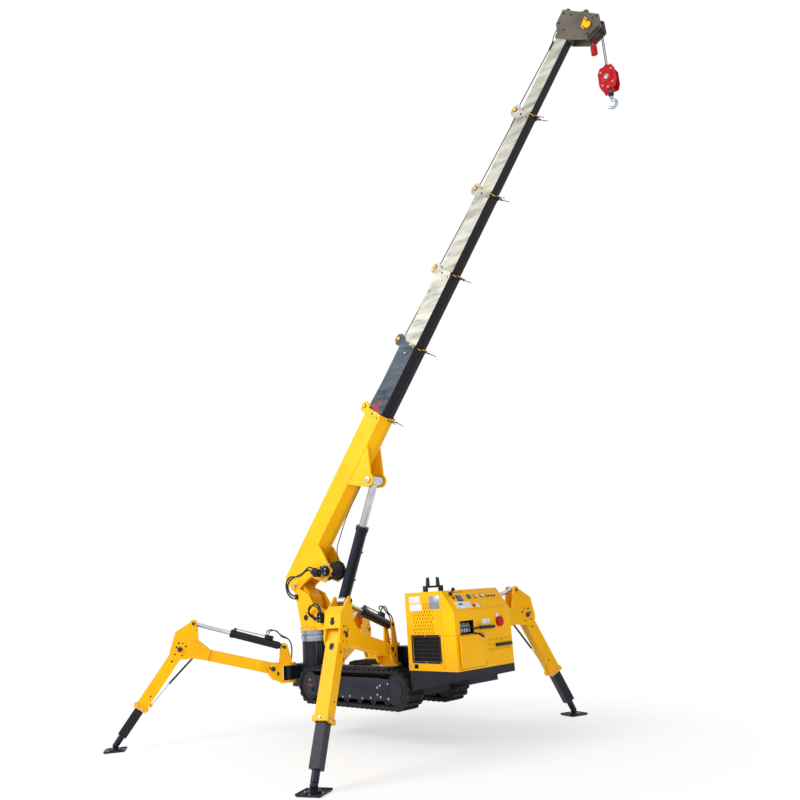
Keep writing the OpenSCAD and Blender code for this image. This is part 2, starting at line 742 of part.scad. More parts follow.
module foot(k) {
    flat = foot_size / 2 - 12;
    color(navy) leg_frame(k) translate([LEGS[k][5], 0, ball_z - LEGS[k][2]]) {
        sphere(r = 34);
        translate([0, 0, -ball_z]) {
            cylinder(r = 60, h = 24);
            cylinder(r = 30, h = 40);
            block([-flat, -flat, 0], [flat, flat, 10]);
            for (a = [0, 90, 180, 270]) rotate([0, 0, a]) {
                plate(-flat, flat) polygon([[flat - 4, 0], [flat + 12, 12], [flat + 12, 22], [flat - 4, 10]]);
                rotate([0, 0, 45]) plate(-5, 5) polygon([[50, 9], [100, 9], [50, 22]]);
            }
        }
    }
}
module lift_barrel(k) {
    color(navy) lift_frame(k) difference() {
        union() {
            bar(0, 0, 36, 27);
            block([0, -27, -30], [70, 27, 30]);
            rotate([0, 90, 0]) translate([0, 0, 62]) cylinder(r = 42, h = 578);
            translate([600, 0, 0]) rotate([0, 90, 0]) cylinder(r = 46, h = 40);
        }
        bar(0, 0, 18 + fit, 60);
        translate([50, 0, 0]) rotate([0, 90, 0]) cylinder(r = 22 + fit, h = 640);
    }
}
module lift_rod(k) {
    color(steel) lift_frame(k) {
        translate([lift_span(k) - 600, 0, 0]) rotate([0, 90, 0]) cylinder(r = 22, h = 600);
        bar(lift_span(k), 0, 32, 30);
    }
}

chassis();
pedestal();
cover_floor();
outrigger_posts();
slew_ring();
track(1);  // track_left
track(-1);  // track_right
track_frames();
engine_cover();
radiator_grille();
control_panel();
boom_rest();
engine_block();
turret();
slew_motor();
boom_base();
winch_drum();
winch_motor();
luff_barrel();
luff_rod();
boom_2();
boom_3();
boom_4();
boom_5();
boom_6();
boom_head();
head_sheaves();
rope_falls();
limit_weight();
hook_block();
hook();
knuckle(FL);  // knuckle_fl
arm(FL);  // arm_fl
outer_leg(FL);  // outer_leg_fl
inner_leg(FL);  // inner_leg_fl
foot(FL);  // foot_fl
lift_barrel(FL);  // lift_barrel_fl
lift_rod(FL);  // lift_rod_fl
knuckle(RL);  // knuckle_rl
arm(RL);  // arm_rl
outer_leg(RL);  // outer_leg_rl
inner_leg(RL);  // inner_leg_rl
foot(RL);  // foot_rl
lift_barrel(RL);  // lift_barrel_rl
lift_rod(RL);  // lift_rod_rl
knuckle(RR);  // knuckle_rr
arm(RR);  // arm_rr
outer_leg(RR);  // outer_leg_rr
inner_leg(RR);  // inner_leg_rr
foot(RR);  // foot_rr
lift_barrel(RR);  // lift_barrel_rr
lift_rod(RR);  // lift_rod_rr
knuckle(FR);  // knuckle_fr
arm(FR);  // arm_fr
outer_leg(FR);  // outer_leg_fr
inner_leg(FR);  // inner_leg_fr
foot(FR);  // foot_fr
lift_barrel(FR);  // lift_barrel_fr
lift_rod(FR);  // lift_rod_fr
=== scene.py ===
"""Dress the compact crawler crane: finishes, ropes, hoses, pins, instruments and the studio round it."""

import json
import logging
import math
from dataclasses import dataclass, field
from enum import Enum
from typing import Iterable, Sequence

import bmesh
import bpy
from mathutils import Matrix, Vector


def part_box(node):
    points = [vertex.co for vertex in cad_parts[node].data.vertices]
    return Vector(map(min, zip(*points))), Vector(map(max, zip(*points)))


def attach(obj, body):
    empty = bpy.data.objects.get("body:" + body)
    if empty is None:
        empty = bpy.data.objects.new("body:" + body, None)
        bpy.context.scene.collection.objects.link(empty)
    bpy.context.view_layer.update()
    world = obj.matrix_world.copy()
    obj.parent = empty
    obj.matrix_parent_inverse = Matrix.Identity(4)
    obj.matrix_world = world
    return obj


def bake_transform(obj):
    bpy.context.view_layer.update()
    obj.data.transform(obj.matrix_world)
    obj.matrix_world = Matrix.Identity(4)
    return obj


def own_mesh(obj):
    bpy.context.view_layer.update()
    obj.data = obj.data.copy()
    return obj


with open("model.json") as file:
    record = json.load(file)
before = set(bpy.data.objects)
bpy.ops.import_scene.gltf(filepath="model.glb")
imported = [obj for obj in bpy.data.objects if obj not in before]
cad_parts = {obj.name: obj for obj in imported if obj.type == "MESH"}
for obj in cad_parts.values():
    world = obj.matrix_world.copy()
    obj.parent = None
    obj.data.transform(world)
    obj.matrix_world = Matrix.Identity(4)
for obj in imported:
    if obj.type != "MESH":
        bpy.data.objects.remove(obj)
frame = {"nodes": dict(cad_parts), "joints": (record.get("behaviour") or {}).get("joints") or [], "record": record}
LOG = logging.getLogger("crane")
Point = tuple[float, float, float]
LEG_NAMES = ("fl", "rl", "rr", "fr")
HEADS = (1.931, 2.823, 3.743, 4.716, 5.656, 6.549)
SECTION_BODIES = ("boom_base_body", "boom_2_body", "boom_3_body", "boom_4_body", "boom_5_body", "boom_6_body")


class Side(Enum):
    """Which side of an assembly a piece sits on, as a sign on its cross axis."""

    NEAR = -1
    FAR = 1


def hex_to_linear(code: str, alpha: float = 1.0) -> tuple[float, float, float, float]:
    """Turn an sRGB hex colour into linear RGBA.

    Args:
        code: six hex digits, such as "FFC20E".
        alpha: the alpha that is passed on.

    Returns:
        Linear red, green and blue with the alpha.
    """
    parts = [int(code[i:i + 2], 16) / 255 for i in (0, 2, 4)]
    linear = [p / 12.92 if p <= 0.04045 else ((p + 0.055) / 1.055) ** 2.4 for p in parts]
    return (linear[0], linear[1], linear[2], alpha)


def add_node(tree: bpy.types.NodeTree, kind: str, settings: dict | None = None,
             inputs: dict | None = None, links: dict | None = None) -> bpy.types.Node:
    """Add a shader node with its settings, socket values and incoming links.

    Args:
        tree: the node tree that gets the node.
        kind: the node's type name.
        settings: attributes of the node itself.
        inputs: socket name or number to value.
        links: socket name or number to the output socket that feeds it.

    Returns:
        The new node.
    """
    made = tree.nodes.new(kind)
    for name, value in (settings or {}).items():
        setattr(made, name, value)
    for key, value in (inputs or {}).items():
        made.inputs[key].default_value = value
    for key, source in (links or {}).items():
        tree.links.new(source, made.inputs[key])
    return made


@dataclass(frozen=True)
class Finish:
    """A painted, moulded or bare surface with patches, fine grain and bump at real sizes.

    The colour wanders between two shades in patches, darker flecks gather where dirt or wear would,
    and a fine grain drives the bump, all on Object coordinates. Where belly gives a direction and a
    level, everything below that level along that direction is painted dark navy: painted shade on the
    underside together with the steel's own dark colour.
    """

    name: str
    shade: str
    second: str
    metallic: float = 0.0
    rough: tuple[float, float] = (0.35, 0.5)
    coat: float = 0.0
    patch_mm: float = 180.0
    fleck: str = "1A1A1A"
    fleck_mm: float = 14.0
    fleck_share: float = 0.04
    grain_mm: float = 2.0
    bump_mm: float = 0.15
    stretch: tuple[float, float, float] = (1.0, 1.0, 1.0)
    turn: tuple[float, float, float] = (0.0, 0.0, 0.0)
    belly: tuple[Point, float] | None = None
    shine: float = 0.5

    def build(self) -> bpy.types.Material:
        """Make the node material of this finish."""
        made = bpy.data.materials.new(self.name)
        made.use_nodes = True
        tree = made.node_tree
        tree.nodes.clear()
        place = add_node(tree, "ShaderNodeTexCoord").outputs["Object"]
        mapped = add_node(tree, "ShaderNodeMapping", inputs={"Rotation": self.turn, "Scale": self.stretch},
                          links={"Vector": place}).outputs[0]
        patch = add_node(tree, "ShaderNodeTexNoise", inputs={"Scale": 1000 / self.patch_mm, "Detail": 5.0},
                         links={"Vector": mapped}).outputs["Fac"]
        spread = add_node(tree, "ShaderNodeMapRange", inputs={1: 0.35, 2: 0.65}, links={0: patch}).outputs[0]
        base = add_node(tree, "ShaderNodeMix", {"data_type": "RGBA"},
                        {6: hex_to_linear(self.shade), 7: hex_to_linear(self.second)}, {0: spread}).outputs[2]
        speck = add_node(tree, "ShaderNodeTexNoise", inputs={"Scale": 1000 / self.fleck_mm, "Detail": 8.0,
                         "Roughness": 0.7}, links={"Vector": mapped}).outputs["Fac"]
        gate = add_node(tree, "ShaderNodeMath", {"operation": "MULTIPLY"}, links={0: speck, 1: patch}).outputs[0]
        worn = add_node(tree, "ShaderNodeMapRange",
                        inputs={1: 0.40 - self.fleck_share, 2: 0.46 - self.fleck_share, 4: 0.75},
                        links={0: gate}).outputs[0]
        colour = add_node(tree, "ShaderNodeMix", {"data_type": "RGBA"}, {7: hex_to_linear(self.fleck)},
                          {0: worn, 6: base}).outputs[2]
        # Below the level the colour turns dark navy: painted shade on the underside together with the steel's own dark
        # colour.
        if self.belly:
            upward = add_node(tree, "ShaderNodeVectorMath", {"operation": "DOT_PRODUCT"}, {1: self.belly[0]},
                              {0: place}).outputs["Value"]
            under = add_node(tree, "ShaderNodeMath", {"operation": "LESS_THAN"}, {1: self.belly[1]},
                             {0: upward}).outputs[0]
            colour = add_node(tree, "ShaderNodeMix", {"data_type": "RGBA"}, {7: hex_to_linear("17171E")},
                              {0: under, 6: colour}).outputs[2]
        rough = add_node(tree, "ShaderNodeMapRange", inputs={1: 0.3, 2: 0.7, 3: self.rough[0], 4: self.rough[1]},
                         links={0: speck}).outputs[0]
        grain = add_node(tree, "ShaderNodeTexNoise", inputs={"Scale": 1000 / self.grain_mm, "Detail": 3.0},
                         links={"Vector": mapped}).outputs["Fac"]
        bump = add_node(tree, "ShaderNodeBump", inputs={"Strength": 0.4, "Distance": self.bump_mm / 1000},
                        links={"Height": grain}).outputs[0]
        shader = add_node(tree, "ShaderNodeBsdfPrincipled",
                          inputs={"Metallic": self.metallic, "Coat Weight": self.coat, "Coat Roughness": 0.15,
                                  "Specular IOR Level": self.shine},
                          links={"Base Color": colour, "Roughness": rough, "Normal": bump}).outputs[0]
        add_node(tree, "ShaderNodeOutputMaterial", links={"Surface": shader})
        return made


class Palette:
    """Every finish of the machine, built once and asked for by name."""

    # Heights of the dark navy belly of sections 2 to 6, which is painted shade on the underside together with the
    # steel's own dark colour.
    DARK_BELLY_AND_SHADE_LEVELS = (-0.074, -0.069, -0.063, -0.057, -0.051)

    def __init__(self, boom: Matrix) -> None:
        """Build the materials.

        Args:
            boom: the boom's local frame, whose x axis the pattern of the sections follows.
        """
        streak = dict(turn=tuple(boom.to_3x3().inverted().to_euler()), stretch=(0.16, 1.0, 1.0))
        upward = boom.to_3x3() @ Vector((0, 0, 1))
        origin = upward.dot(boom.translation)
        sections = []
        for k, level in enumerate(self.DARK_BELLY_AND_SHADE_LEVELS, start=2):
            # Above the belly level sections 3 to 6 are painted pale: a painted reflection of the bright sky on their
            # dark steel. Section 2 keeps its own dark blue-grey.
            shades = ("46525F", "2A323D") if k == 2 else ("C6C3B5", "9A9A8E")
            sections.append(Finish(f"section_{k}_steel", *shades, metallic=0.1, rough=(0.4, 0.6), patch_mm=70,
                                   fleck="20242B" if k == 2 else "66706E", fleck_mm=26, fleck_share=0.07,
                                   belly=(tuple(upward), origin + level), shine=0.25, **streak))
        finishes = (
            *sections,
            Finish("golden_enamel", "FFC000", "FDB400", rough=(0.42, 0.52), patch_mm=420, fleck="8A5A10",
                   fleck_share=0.0, fleck_mm=22, shine=0.2),
            Finish("screen_blue", "2C62B8", "2456A6", rough=(0.2, 0.3), patch_mm=40, fleck="9FC0E8",
                   fleck_share=0.02),
            Finish("navy_enamel", "171B2B", "11131F", rough=(0.35, 0.5), fleck="3A3C46",
                   fleck_share=0.03, shine=0.25),
            Finish("satin_black_enamel", "131316", "0D0D10", rough=(0.4, 0.55), fleck="3A3A3C", shine=0.3),
            Finish("hard_chrome", "C9CCD2", "B9BDC6", metallic=1.0, rough=(0.10, 0.2), patch_mm=120,
                   fleck="8A8E96", bump_mm=0.02),
            Finish("track_rubber", "141414", "1E1D1B", rough=(0.7, 0.85), patch_mm=90, fleck="3C3833",
                   fleck_mm=9, fleck_share=0.08, bump_mm=0.4, shine=0.25),
            Finish("greased_galvanised_steel", "C3C5C6", "A4A7A9", metallic=0.35, rough=(0.35, 0.55),
                   patch_mm=110, fleck="3E4044", fleck_mm=30, fleck_share=0.10, **streak),
            Finish("blue_grey_enamel", "5C6670", "434B56", metallic=0.2, rough=(0.35, 0.5), patch_mm=110,
                   fleck="22252B", fleck_mm=30, fleck_share=0.12, **streak),
            Finish("red_enamel", "BE0A12", "A8070F", rough=(0.4, 0.5), fleck="5A0A0C", shine=0.25),
            Finish("head_enamel", "6A6258", "544D45", rough=(0.45, 0.6), fleck="8A8273", fleck_share=0.02, shine=0.3),
            Finish("machined_steel", "A9B3C2", "8E98A8", metallic=0.8, rough=(0.25, 0.4), patch_mm=60,
                   fleck="5A606A"),
            Finish("cast_iron", "2C2D2E", "232425", rough=(0.6, 0.75), fleck="4A4A48", bump_mm=0.5),
            Finish("wire_rope", "23221F", "35332E", metallic=0.5, rough=(0.45, 0.6), patch_mm=6,
                   fleck="0C0C0C", fleck_mm=4, grain_mm=2.5, bump_mm=0.8),
            Finish("hose_rubber", "141415", "1E1E1F", rough=(0.45, 0.6), patch_mm=40, fleck="3A3A3A",
                   grain_mm=1.5, bump_mm=0.2),
            Finish("brass_pad", "C79A2E", "A97E22", metallic=0.6, rough=(0.35, 0.5), patch_mm=20,
                   fleck="4A3A12"),
            Finish("blank_label", "E9EAEA", "DCDDDD", rough=(0.4, 0.5), patch_mm=60, fleck="A9ABAC",
                   fleck_share=-0.05),
            Finish("zinc_plate", "B8BABD", "9DA0A4", metallic=0.7, rough=(0.3, 0.45), patch_mm=15,
                   fleck="6A6C70"),
        )
        self._made = {f.name: f.build() for f in finishes}

    def __getitem__(self, name: str) -> bpy.types.Material:
        """Give the material of a finish."""
        return self._made[name]


class Shape:
    """A bmesh modelled in a local frame, then placed and given its finish and body."""

    def __init__(self) -> None:
        """Start an empty shape."""
        self.bm = bmesh.new()

    def box(self, low: Point, high: Point, bevel: float = 0.0) -> "Shape":
        """Add a box between two corners, with rounded edges if bevel is given."""
        part = bmesh.new()
        bmesh.ops.create_cube(part, size=1.0)
        size = [h - l for l, h in zip(low, high)]
        bmesh.ops.scale(part, vec=size, verts=part.verts)
        bmesh.ops.translate(part, vec=[(h + l) / 2 for l, h in zip(low, high)], verts=part.verts)
        return self._merge(part, bevel)

    def rod(self, start: Point, end: Point, radius: float, segments: int = 20, bevel: float = 0.0,
            end_radius: float | None = None) -> "Shape":
        """Add a closed cylinder or cone from start to end."""
        a, b = Vector(start), Vector(end)
        part = bmesh.new()
        bmesh.ops.create_cone(part, cap_ends=True, segments=segments, radius1=radius,
                              radius2=radius if end_radius is None else end_radius, depth=(b - a).length)
        turn = (b - a).to_track_quat("Z", "Y").to_matrix().to_4x4()
        bmesh.ops.transform(part, matrix=Matrix.Translation((a + b) / 2) @ turn, verts=part.verts)
        return self._merge(part, bevel, sharp=0.9)

    def ball(self, centre: Point, radius: float) -> "Shape":
        """Add a sphere."""
        part = bmesh.new()
        bmesh.ops.create_uvsphere(part, u_segments=20, v_segments=12, radius=radius)
        bmesh.ops.translate(part, vec=centre, verts=part.verts)
        return self._merge(part, 0.0)

    def plate(self, outline: Sequence[tuple[float, float]], y0: float, y1: float, bevel: float = 0.0) -> "Shape":
        """Add a plate from an outline in x and z, between two distances on the y axis."""
        part = bmesh.new()
        face = part.faces.new([part.verts.new((x, y0, z)) for x, z in outline])
        out = bmesh.ops.extrude_face_region(part, geom=[face])
        moved = [g for g in out["geom"] if isinstance(g, bmesh.types.BMVert)]
        bmesh.ops.translate(part, vec=(0, y1 - y0, 0), verts=moved)
        bmesh.ops.recalc_face_normals(part, faces=part.faces)
        return self._merge(part, bevel)

    def torus(self, centre: Point, axis: Point, radius: float, thick: float, sweep: float = math.tau,
              start: float = 0.0) -> "Shape":
        """Spin a round section about an axis into a ring, or part of one."""
        part = bmesh.new()
        ring = bmesh.ops.create_circle(part, cap_ends=False, segments=12, radius=thick)["verts"]
        bmesh.ops.rotate(part, matrix=Matrix.Rotation(math.pi / 2, 3, "X"), verts=ring)
        bmesh.ops.translate(part, vec=(radius, 0, 0), verts=ring)
        bmesh.ops.rotate(part, matrix=Matrix.Rotation(start, 3, "Z"), verts=ring)
        full = abs(sweep - math.tau) < 1e-6
        bmesh.ops.spin(part, geom=part.verts[:] + part.edges[:], axis=(0, 0, 1), cent=(0, 0, 0), angle=sweep,
                       steps=max(8, int(40 * sweep / math.tau)), use_merge=full)
        if not full:
            bmesh.ops.holes_fill(part, edges=[e for e in part.edges if e.is_boundary], sides=0)
        bmesh.ops.remove_doubles(part, verts=part.verts, dist=1e-6)
        bmesh.ops.recalc_face_normals(part, faces=part.faces)
        turn = Vector(axis).to_track_quat("Z", "Y").to_matrix().to_4x4()
        bmesh.ops.transform(part, matrix=Matrix.Translation(centre) @ turn, verts=part.verts)
        return self._merge(part, 0.0)

    def bolt(self, centre: Point, axis: Point, radius: float = 0.011, high: float = 0.009) -> "Shape":
        """Add a hexagon bolt head on a washer, standing out along axis."""
        a, n = Vector(centre), Vector(axis).normalized()
        self.rod(a - n * 0.001, a + n * 0.002, radius * 1.35, 14)
        return self.rod(a, a + n * high, radius, 6, bevel=radius * 0.12)

    def _merge(self, part: bmesh.types.BMesh, bevel: float, sharp: float = 0.5) -> "Shape":
        """Bevel a part's sharp edges and add it to the shape."""
        if bevel > 0:
            edges = [e for e in part.edges if len(e.link_faces) == 2 and e.calc_face_angle(0) > sharp]
            bmesh.ops.bevel(part, geom=edges, offset=bevel, offset_type="OFFSET", segments=2, profile=0.5,
                            affect="EDGES", material=-1, clamp_overlap=True)
        mesh = bpy.data.meshes.new("part")
        part.to_mesh(mesh)
        part.free()
        self.bm.from_mesh(mesh)
        bpy.data.meshes.remove(mesh)
        return self

    def finish(self, name: str, place: Matrix, material: bpy.types.Material) -> bpy.types.Object:
        """Put the shape in the row frame as an object at the origin."""
        bmesh.ops.transform(self.bm, matrix=place, verts=self.bm.verts)
        mesh = bpy.data.meshes.new(name)
        self.bm.to_mesh(mesh)
        self.bm.free()
        mesh.materials.append(material)
        made = bpy.data.objects.new(name, mesh)
        bpy.context.scene.collection.objects.link(made)
        mesh.shade_smooth()
        mesh.set_sharp_from_angle(angle=math.radians(35))
        return made


@dataclass
class Places:
    """Local frames of the moving assemblies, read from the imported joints."""

    joints: dict[str, dict]
    cross_height: float = 1.973
    pivot_on_boom: tuple[float, float] = (-0.414, -0.042)

    def _frame(self, origin: Vector, x_axis: Vector, y_axis: Vector) -> Matrix:
        """Build a matrix from an origin and two axes."""
        x, y = x_axis.normalized(), y_axis.normalized()
        z = x.cross(y)
        made = Matrix((x, y, z)).transposed().to_4x4()
        made.translation = origin
        return made

    def point(self, joint: str) -> Vector:
        """Give a joint's point at rest."""
        return Vector(self.joints[joint]["pos_m"])

    def axis(self, joint: str) -> Vector:
        """Give a joint's axis at rest."""
        return Vector(self.joints[joint]["axis"])

    def turret(self) -> Matrix:
        """x towards the boom's side, y across, z up, from the slew axis at the ground."""
        across = self.axis("luff")
        foot = self.point("slew")
        foot.z = 0.0
        return self._frame(foot, across.cross(Vector((0, 0, 1))), across)

    def boom(self) -> Matrix:
        """x along the boom, y across and z square to both, from where its line crosses the slew axis."""
        along, across = -self.axis("tele_2"), self.axis("luff")
        upward = along.cross(across)
        origin = self.point("luff") - along * self.pivot_on_boom[0] - upward * self.pivot_on_boom[1]
        return self._frame(origin, along, across)

    def luff_cylinder(self) -> Matrix:
        """x along the luff cylinder from its lower pin."""
        return self._frame(self.point("luff_barrel_tilt"), self.axis("luff_rod_slide"), self.axis("luff"))

    def leg(self, k: str) -> Matrix:
        """x outwards from a leg's swivel axis, z up, at the height of the arm's pivot."""
        across = self.axis(f"lift_{k}")
        return self._frame(self.point(f"swivel_{k}"), across.cross(Vector((0, 0, 1))), across)

    def arm(self, k: str) -> Matrix:
        """x along a leg's arm from its pivot to the knee."""
        start, knee = self.point(f"lift_{k}"), self.point(f"knee_{k}")
        return self._frame(start, knee - start, self.axis(f"lift_{k}"))

    def lower(self, k: str) -> Matrix:
        """x along a lower leg from the knee to the foot."""
        return self._frame(self.point(f"knee_{k}"), self.axis(f"leg_slide_{k}"), self.axis(f"lift_{k}"))

    def lift_cylinder(self, k: str) -> Matrix:
        """x along a lift cylinder from its lower pin."""
        return self._frame(self.point(f"lift_barrel_tilt_{k}"), self.axis(f"lift_rod_slide_{k}"),
                           self.axis(f"lift_{k}"))


@dataclass
class Assembly:
    """What every sub-assembly needs: the local frames and the finishes."""

    places: Places
    palette: Palette

    def add(self, shape: Shape, name: str, place: Matrix, finish: str, body: str, slot: str) -> bpy.types.Object:
        """Finish a shape as a named piece that rides on a body and takes the given finish."""
        made = shape.finish(name, place, self.palette[finish])
        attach(made, body)
        LOG.info("%s rides on %s", name, body)
        return made

    def hose(self, points: Iterable[Point], radius: float, name: str, place: Matrix, finish: str, body: str,
             slot: str, ride: bool = True) -> bpy.types.Object:
        """Lay a smooth round hose or rope through the given points.

        Args:
            points: the route in the local frame.
            radius: the hose's radius.
            name: the piece's name.
            place: the local frame.
            finish: the finish's name.
            body: the body that carries it.
            slot: a material slot name; not used.
            ride: False where the caller leaves it on no body and bakes it in place instead.

        Returns:
            The hose as a mesh object at the origin.
        """
        curve = bpy.data.curves.new(name, "CURVE")
        curve.dimensions = "3D"
        curve.bevel_depth = radius
        curve.bevel_resolution = 3
        curve.resolution_u = 8
        curve.use_fill_caps = True
        spots = [place @ Vector(p) for p in points]
        spline = curve.splines.new("BEZIER")
        spline.bezier_points.add(len(spots) - 1)
        for spot, at in zip(spline.bezier_points, spots):
            spot.co = at
            spot.handle_left_type = spot.handle_right_type = "AUTO"
        drawn = bpy.data.objects.new(name, curve)
        bpy.context.scene.collection.objects.link(drawn)
        bpy.context.view_layer.update()
        mesh = bpy.data.meshes.new_from_object(drawn)
        bpy.data.objects.remove(drawn)
        mesh.name = name
        mesh.materials.clear()
        mesh.materials.append(self.palette[finish])
        made = bpy.data.objects.new(name, mesh)
        bpy.context.scene.collection.objects.link(made)
        mesh.shade_smooth()
        if ride:
            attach(made, body)
        return made


class NodeDresser(Assembly):
    """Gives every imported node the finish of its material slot."""

    FINISH_OF_SLOT = {
        "yellow_paint": "golden_enamel", "navy_paint": "navy_enamel", "black_paint": "satin_black_enamel",
        "rod_chrome": "hard_chrome", "track_rubber": "track_rubber", "grey_paint": "greased_galvanised_steel",
        "blue_grey_paint": "blue_grey_enamel", "red_paint": "red_enamel", "head_paint": "head_enamel",
        "engine_iron": "cast_iron", "bare_steel": "machined_steel", "panel_sheet": "golden_enamel",
        "rope_steel": "wire_rope"}

    def dress(self) -> None:
        """Set the material of each node."""
        for part in frame["record"]["subparts"]:
            node = frame["nodes"][part["node"]]
            name, slot = part["node"], part["material_slot"]
            telescope = name.startswith("boom_") and name[-1].isdigit()
            material = self.palette[f"section_{name[-1]}_steel" if telescope else self.FINISH_OF_SLOT[slot]]
            if not node.material_slots:
                node.data.materials.append(material)
            for held in node.material_slots:
                held.material = material


def section_size(k: int) -> tuple[float, float]:
    """Give the outer width and height of boom section k, counted from the base."""
    return 0.250 - 0.026 * k, 0.300 - 0.026 * k


class BoomRopes(Assembly):
    """Extension ropes between the section heads."""

    def dress(self) -> None:
        """Stretch a rope from each head's pulley to the plates of the next head."""
        boom = self.places.boom()
        for k in range(5):
            for n in range(2 if k in (2, 3) else 1):
                start = (HEADS[k] - 0.014, 0.024 * n, section_size(k)[1] / 2 + 0.090 - 0.030 * n)
                end = (HEADS[k + 1] - 0.085, 0.024 * n, section_size(k + 1)[1] / 2 + 0.062 - 0.030 * n)
                shape = Shape().rod(start, end, 0.0055, 10)
                shape.rod((end[0] - 0.09, end[1], end[2] + 0.002), (end[0] + 0.012, end[1], end[2]), 0.011, 12, 0.002)
                rope = shape.finish(f"extension_rope_{k + 2}_{n}", boom, self.palette["wire_rope"])
                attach(rope, SECTION_BODIES[k])
                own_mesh(rope)


class SectionHeads(Assembly):
    """Pins, pads, bolts and guides at the end of every boom section."""

    def dress(self) -> None:
        """Dress the heads one after the other."""
        boom = self.places.boom()
        for k in range(5):
            self.pads(k, boom)
            self.bolts(k, boom)
            self.pins(k, boom)
            self.guides(k, boom)
        self.marks(boom)

    def pads(self, k: int, boom: Matrix) -> None:
        """Lay the ends of the brass-coloured wear pads round the mouth of section k."""
        w, h = section_size(k)
        x, shape = HEADS[k], Shape()
        for side in Side:
            y = side.value * (w / 2 - 0.0065)
            y0, y1 = sorted((y, y + side.value * 0.020))
            shape.box((x - 0.002, y0, -0.050), (x + 0.007, y1, 0.010), 0.001)
            shape.box((x - 0.002, side.value * w * 0.3 - 0.024, h / 2 - 0.006),
                      (x + 0.007, side.value * w * 0.3 + 0.024, h / 2 + 0.014), 0.001)
            low, out = -h / 2 - 0.014, w / 2 + 0.015
            shape.rod((x - 0.013, side.value * out, -0.060), (x - 0.013, side.value * w * 0.20, low), 0.0045, 12)
        shape.box((x - 0.002, -w * 0.18, -h / 2 - 0.015), (x + 0.007, w * 0.18, -h / 2 + 0.005), 0.001)
        self.add(shape, f"mouth_pads_{k + 1}", boom, "golden_enamel", SECTION_BODIES[k], "yellow_paint")

    def bolts(self, k: int, boom: Matrix) -> None:
        """Set the pad bolts into the ring's sides and top."""
        w, h = section_size(k)
        grow = 0.016 if k == 0 else 0.012
        x, shape = HEADS[k] - 0.013, Shape()
        for side in Side:
            s = side.value
            for z in (-0.060, -0.010):
                shape.bolt((x, s * (w / 2 + grow), z), (0, s, 0), 0.0065, 0.006)
            shape.bolt((x, s * w * 0.3, h / 2 + grow), (0, 0, 1), 0.0065, 0.006)
            shape.bolt((x - 0.110, s * (w / 2 + 0.001), 0.020), (0, s, 0), 0.0065, 0.006)
        self.add(shape, f"pad_bolts_{k + 1}", boom, "zinc_plate", SECTION_BODIES[k], "bare_steel")

    def pins(self, k: int, boom: Matrix) -> None:
        """Cap the pulley's pin, keep it with a bar and guard the rope over the pulley."""
        w, h = section_size(k)
        x, z, gold, dark = HEADS[k] - 0.014, h / 2 + 0.052, Shape(), Shape()
        for side in Side:
            s = side.value
            face = w / 2 + 0.008
            gold.rod((x, s * (face + 0.004), z), (x, s * (face + 0.012), z), 0.021, 22, 0.003)
            gold.bolt((x - 0.052, s * face, z + 0.018), (0, s, 0), 0.008, 0.008)
            dark.rod((x, s * (face - 0.001), z), (x, s * (face + 0.0035), z), 0.027, 24)
            dark.rod((x - 0.030, s * (face - 0.001), 0.045), (x - 0.030, s * (face + 0.0012), 0.045), 0.012, 20)
            dark.bolt((x - 0.046, s * (w / 2 + 0.001), -0.040), (0, s, 0), 0.006, 0.006)
        self.add(gold, f"pulley_pin_caps_{k + 1}", boom, "golden_enamel", SECTION_BODIES[k], "yellow_paint")
        dark.torus((x, 0.0, z), (0, 1, 0), 0.0445, 0.0045)
        dark.box((x - 0.092, -0.030, h / 2 + 0.002), (x - 0.062, 0.030, h / 2 + 0.036), 0.003)
        dark.rod((x - 0.088, 0.0, h / 2 + 0.030), (x - 0.120, 0.0, h / 2 + 0.014), 0.006, 12, 0.001)
        dark.rod((x - 0.062, -w / 2, h / 2 + 0.026), (x - 0.062, w / 2, h / 2 + 0.026), 0.008, 14, 0.001)
        self.add(dark, f"rope_guard_{k + 1}", boom, "satin_black_enamel", SECTION_BODIES[k], "black_paint")

    def marks(self, boom: Matrix) -> None:
        """Paint the two red strokes near the root of the second section."""
        face, x, shape = section_size(1)[0] / 2, HEADS[0], Shape()
        for side in Side:
            s = side.value
            y0, y1 = sorted((s * (face - 0.001), s * (face + 0.0008)))
            shape.plate([(x + 0.020, 0.100), (x + 0.075, 0.112), (x + 0.030, -0.040), (x + 0.018, -0.040)], y0, y1)
            shape.plate([(x + 0.060, 0.050), (x + 0.135, 0.040), (x + 0.135, 0.018), (x + 0.060, 0.030)], y0, y1)
        self.add(shape, "overlap_marks", boom, "red_enamel", SECTION_BODIES[1], "red_paint")

    def guides(self, k: int, boom: Matrix) -> None:
        """Hang the two long dark spikes under the ring, joined by a cross bar."""
        w, h = section_size(k)
        grow = 0.016 if k == 0 else 0.012
        x, low, shape = HEADS[k] - 0.013, -h / 2 - grow, Shape()
        for side in Side:
            y = side.value * w * 0.30
            shape.rod((x, y, low + 0.004), (x + 0.010, y, low - 0.125), 0.005, 12, 0.001, 0.0035)
            shape.rod((x, y, low + 0.002), (x, y, low - 0.020), 0.009, 6, 0.001)
        shape.rod((x + 0.003, -w * 0.30, low - 0.030), (x + 0.003, w * 0.30, low - 0.030), 0.0045, 12, 0.001)
        self.add(shape, f"belly_guides_{k + 1}", boom, "satin_black_enamel", SECTION_BODIES[k], "black_paint")


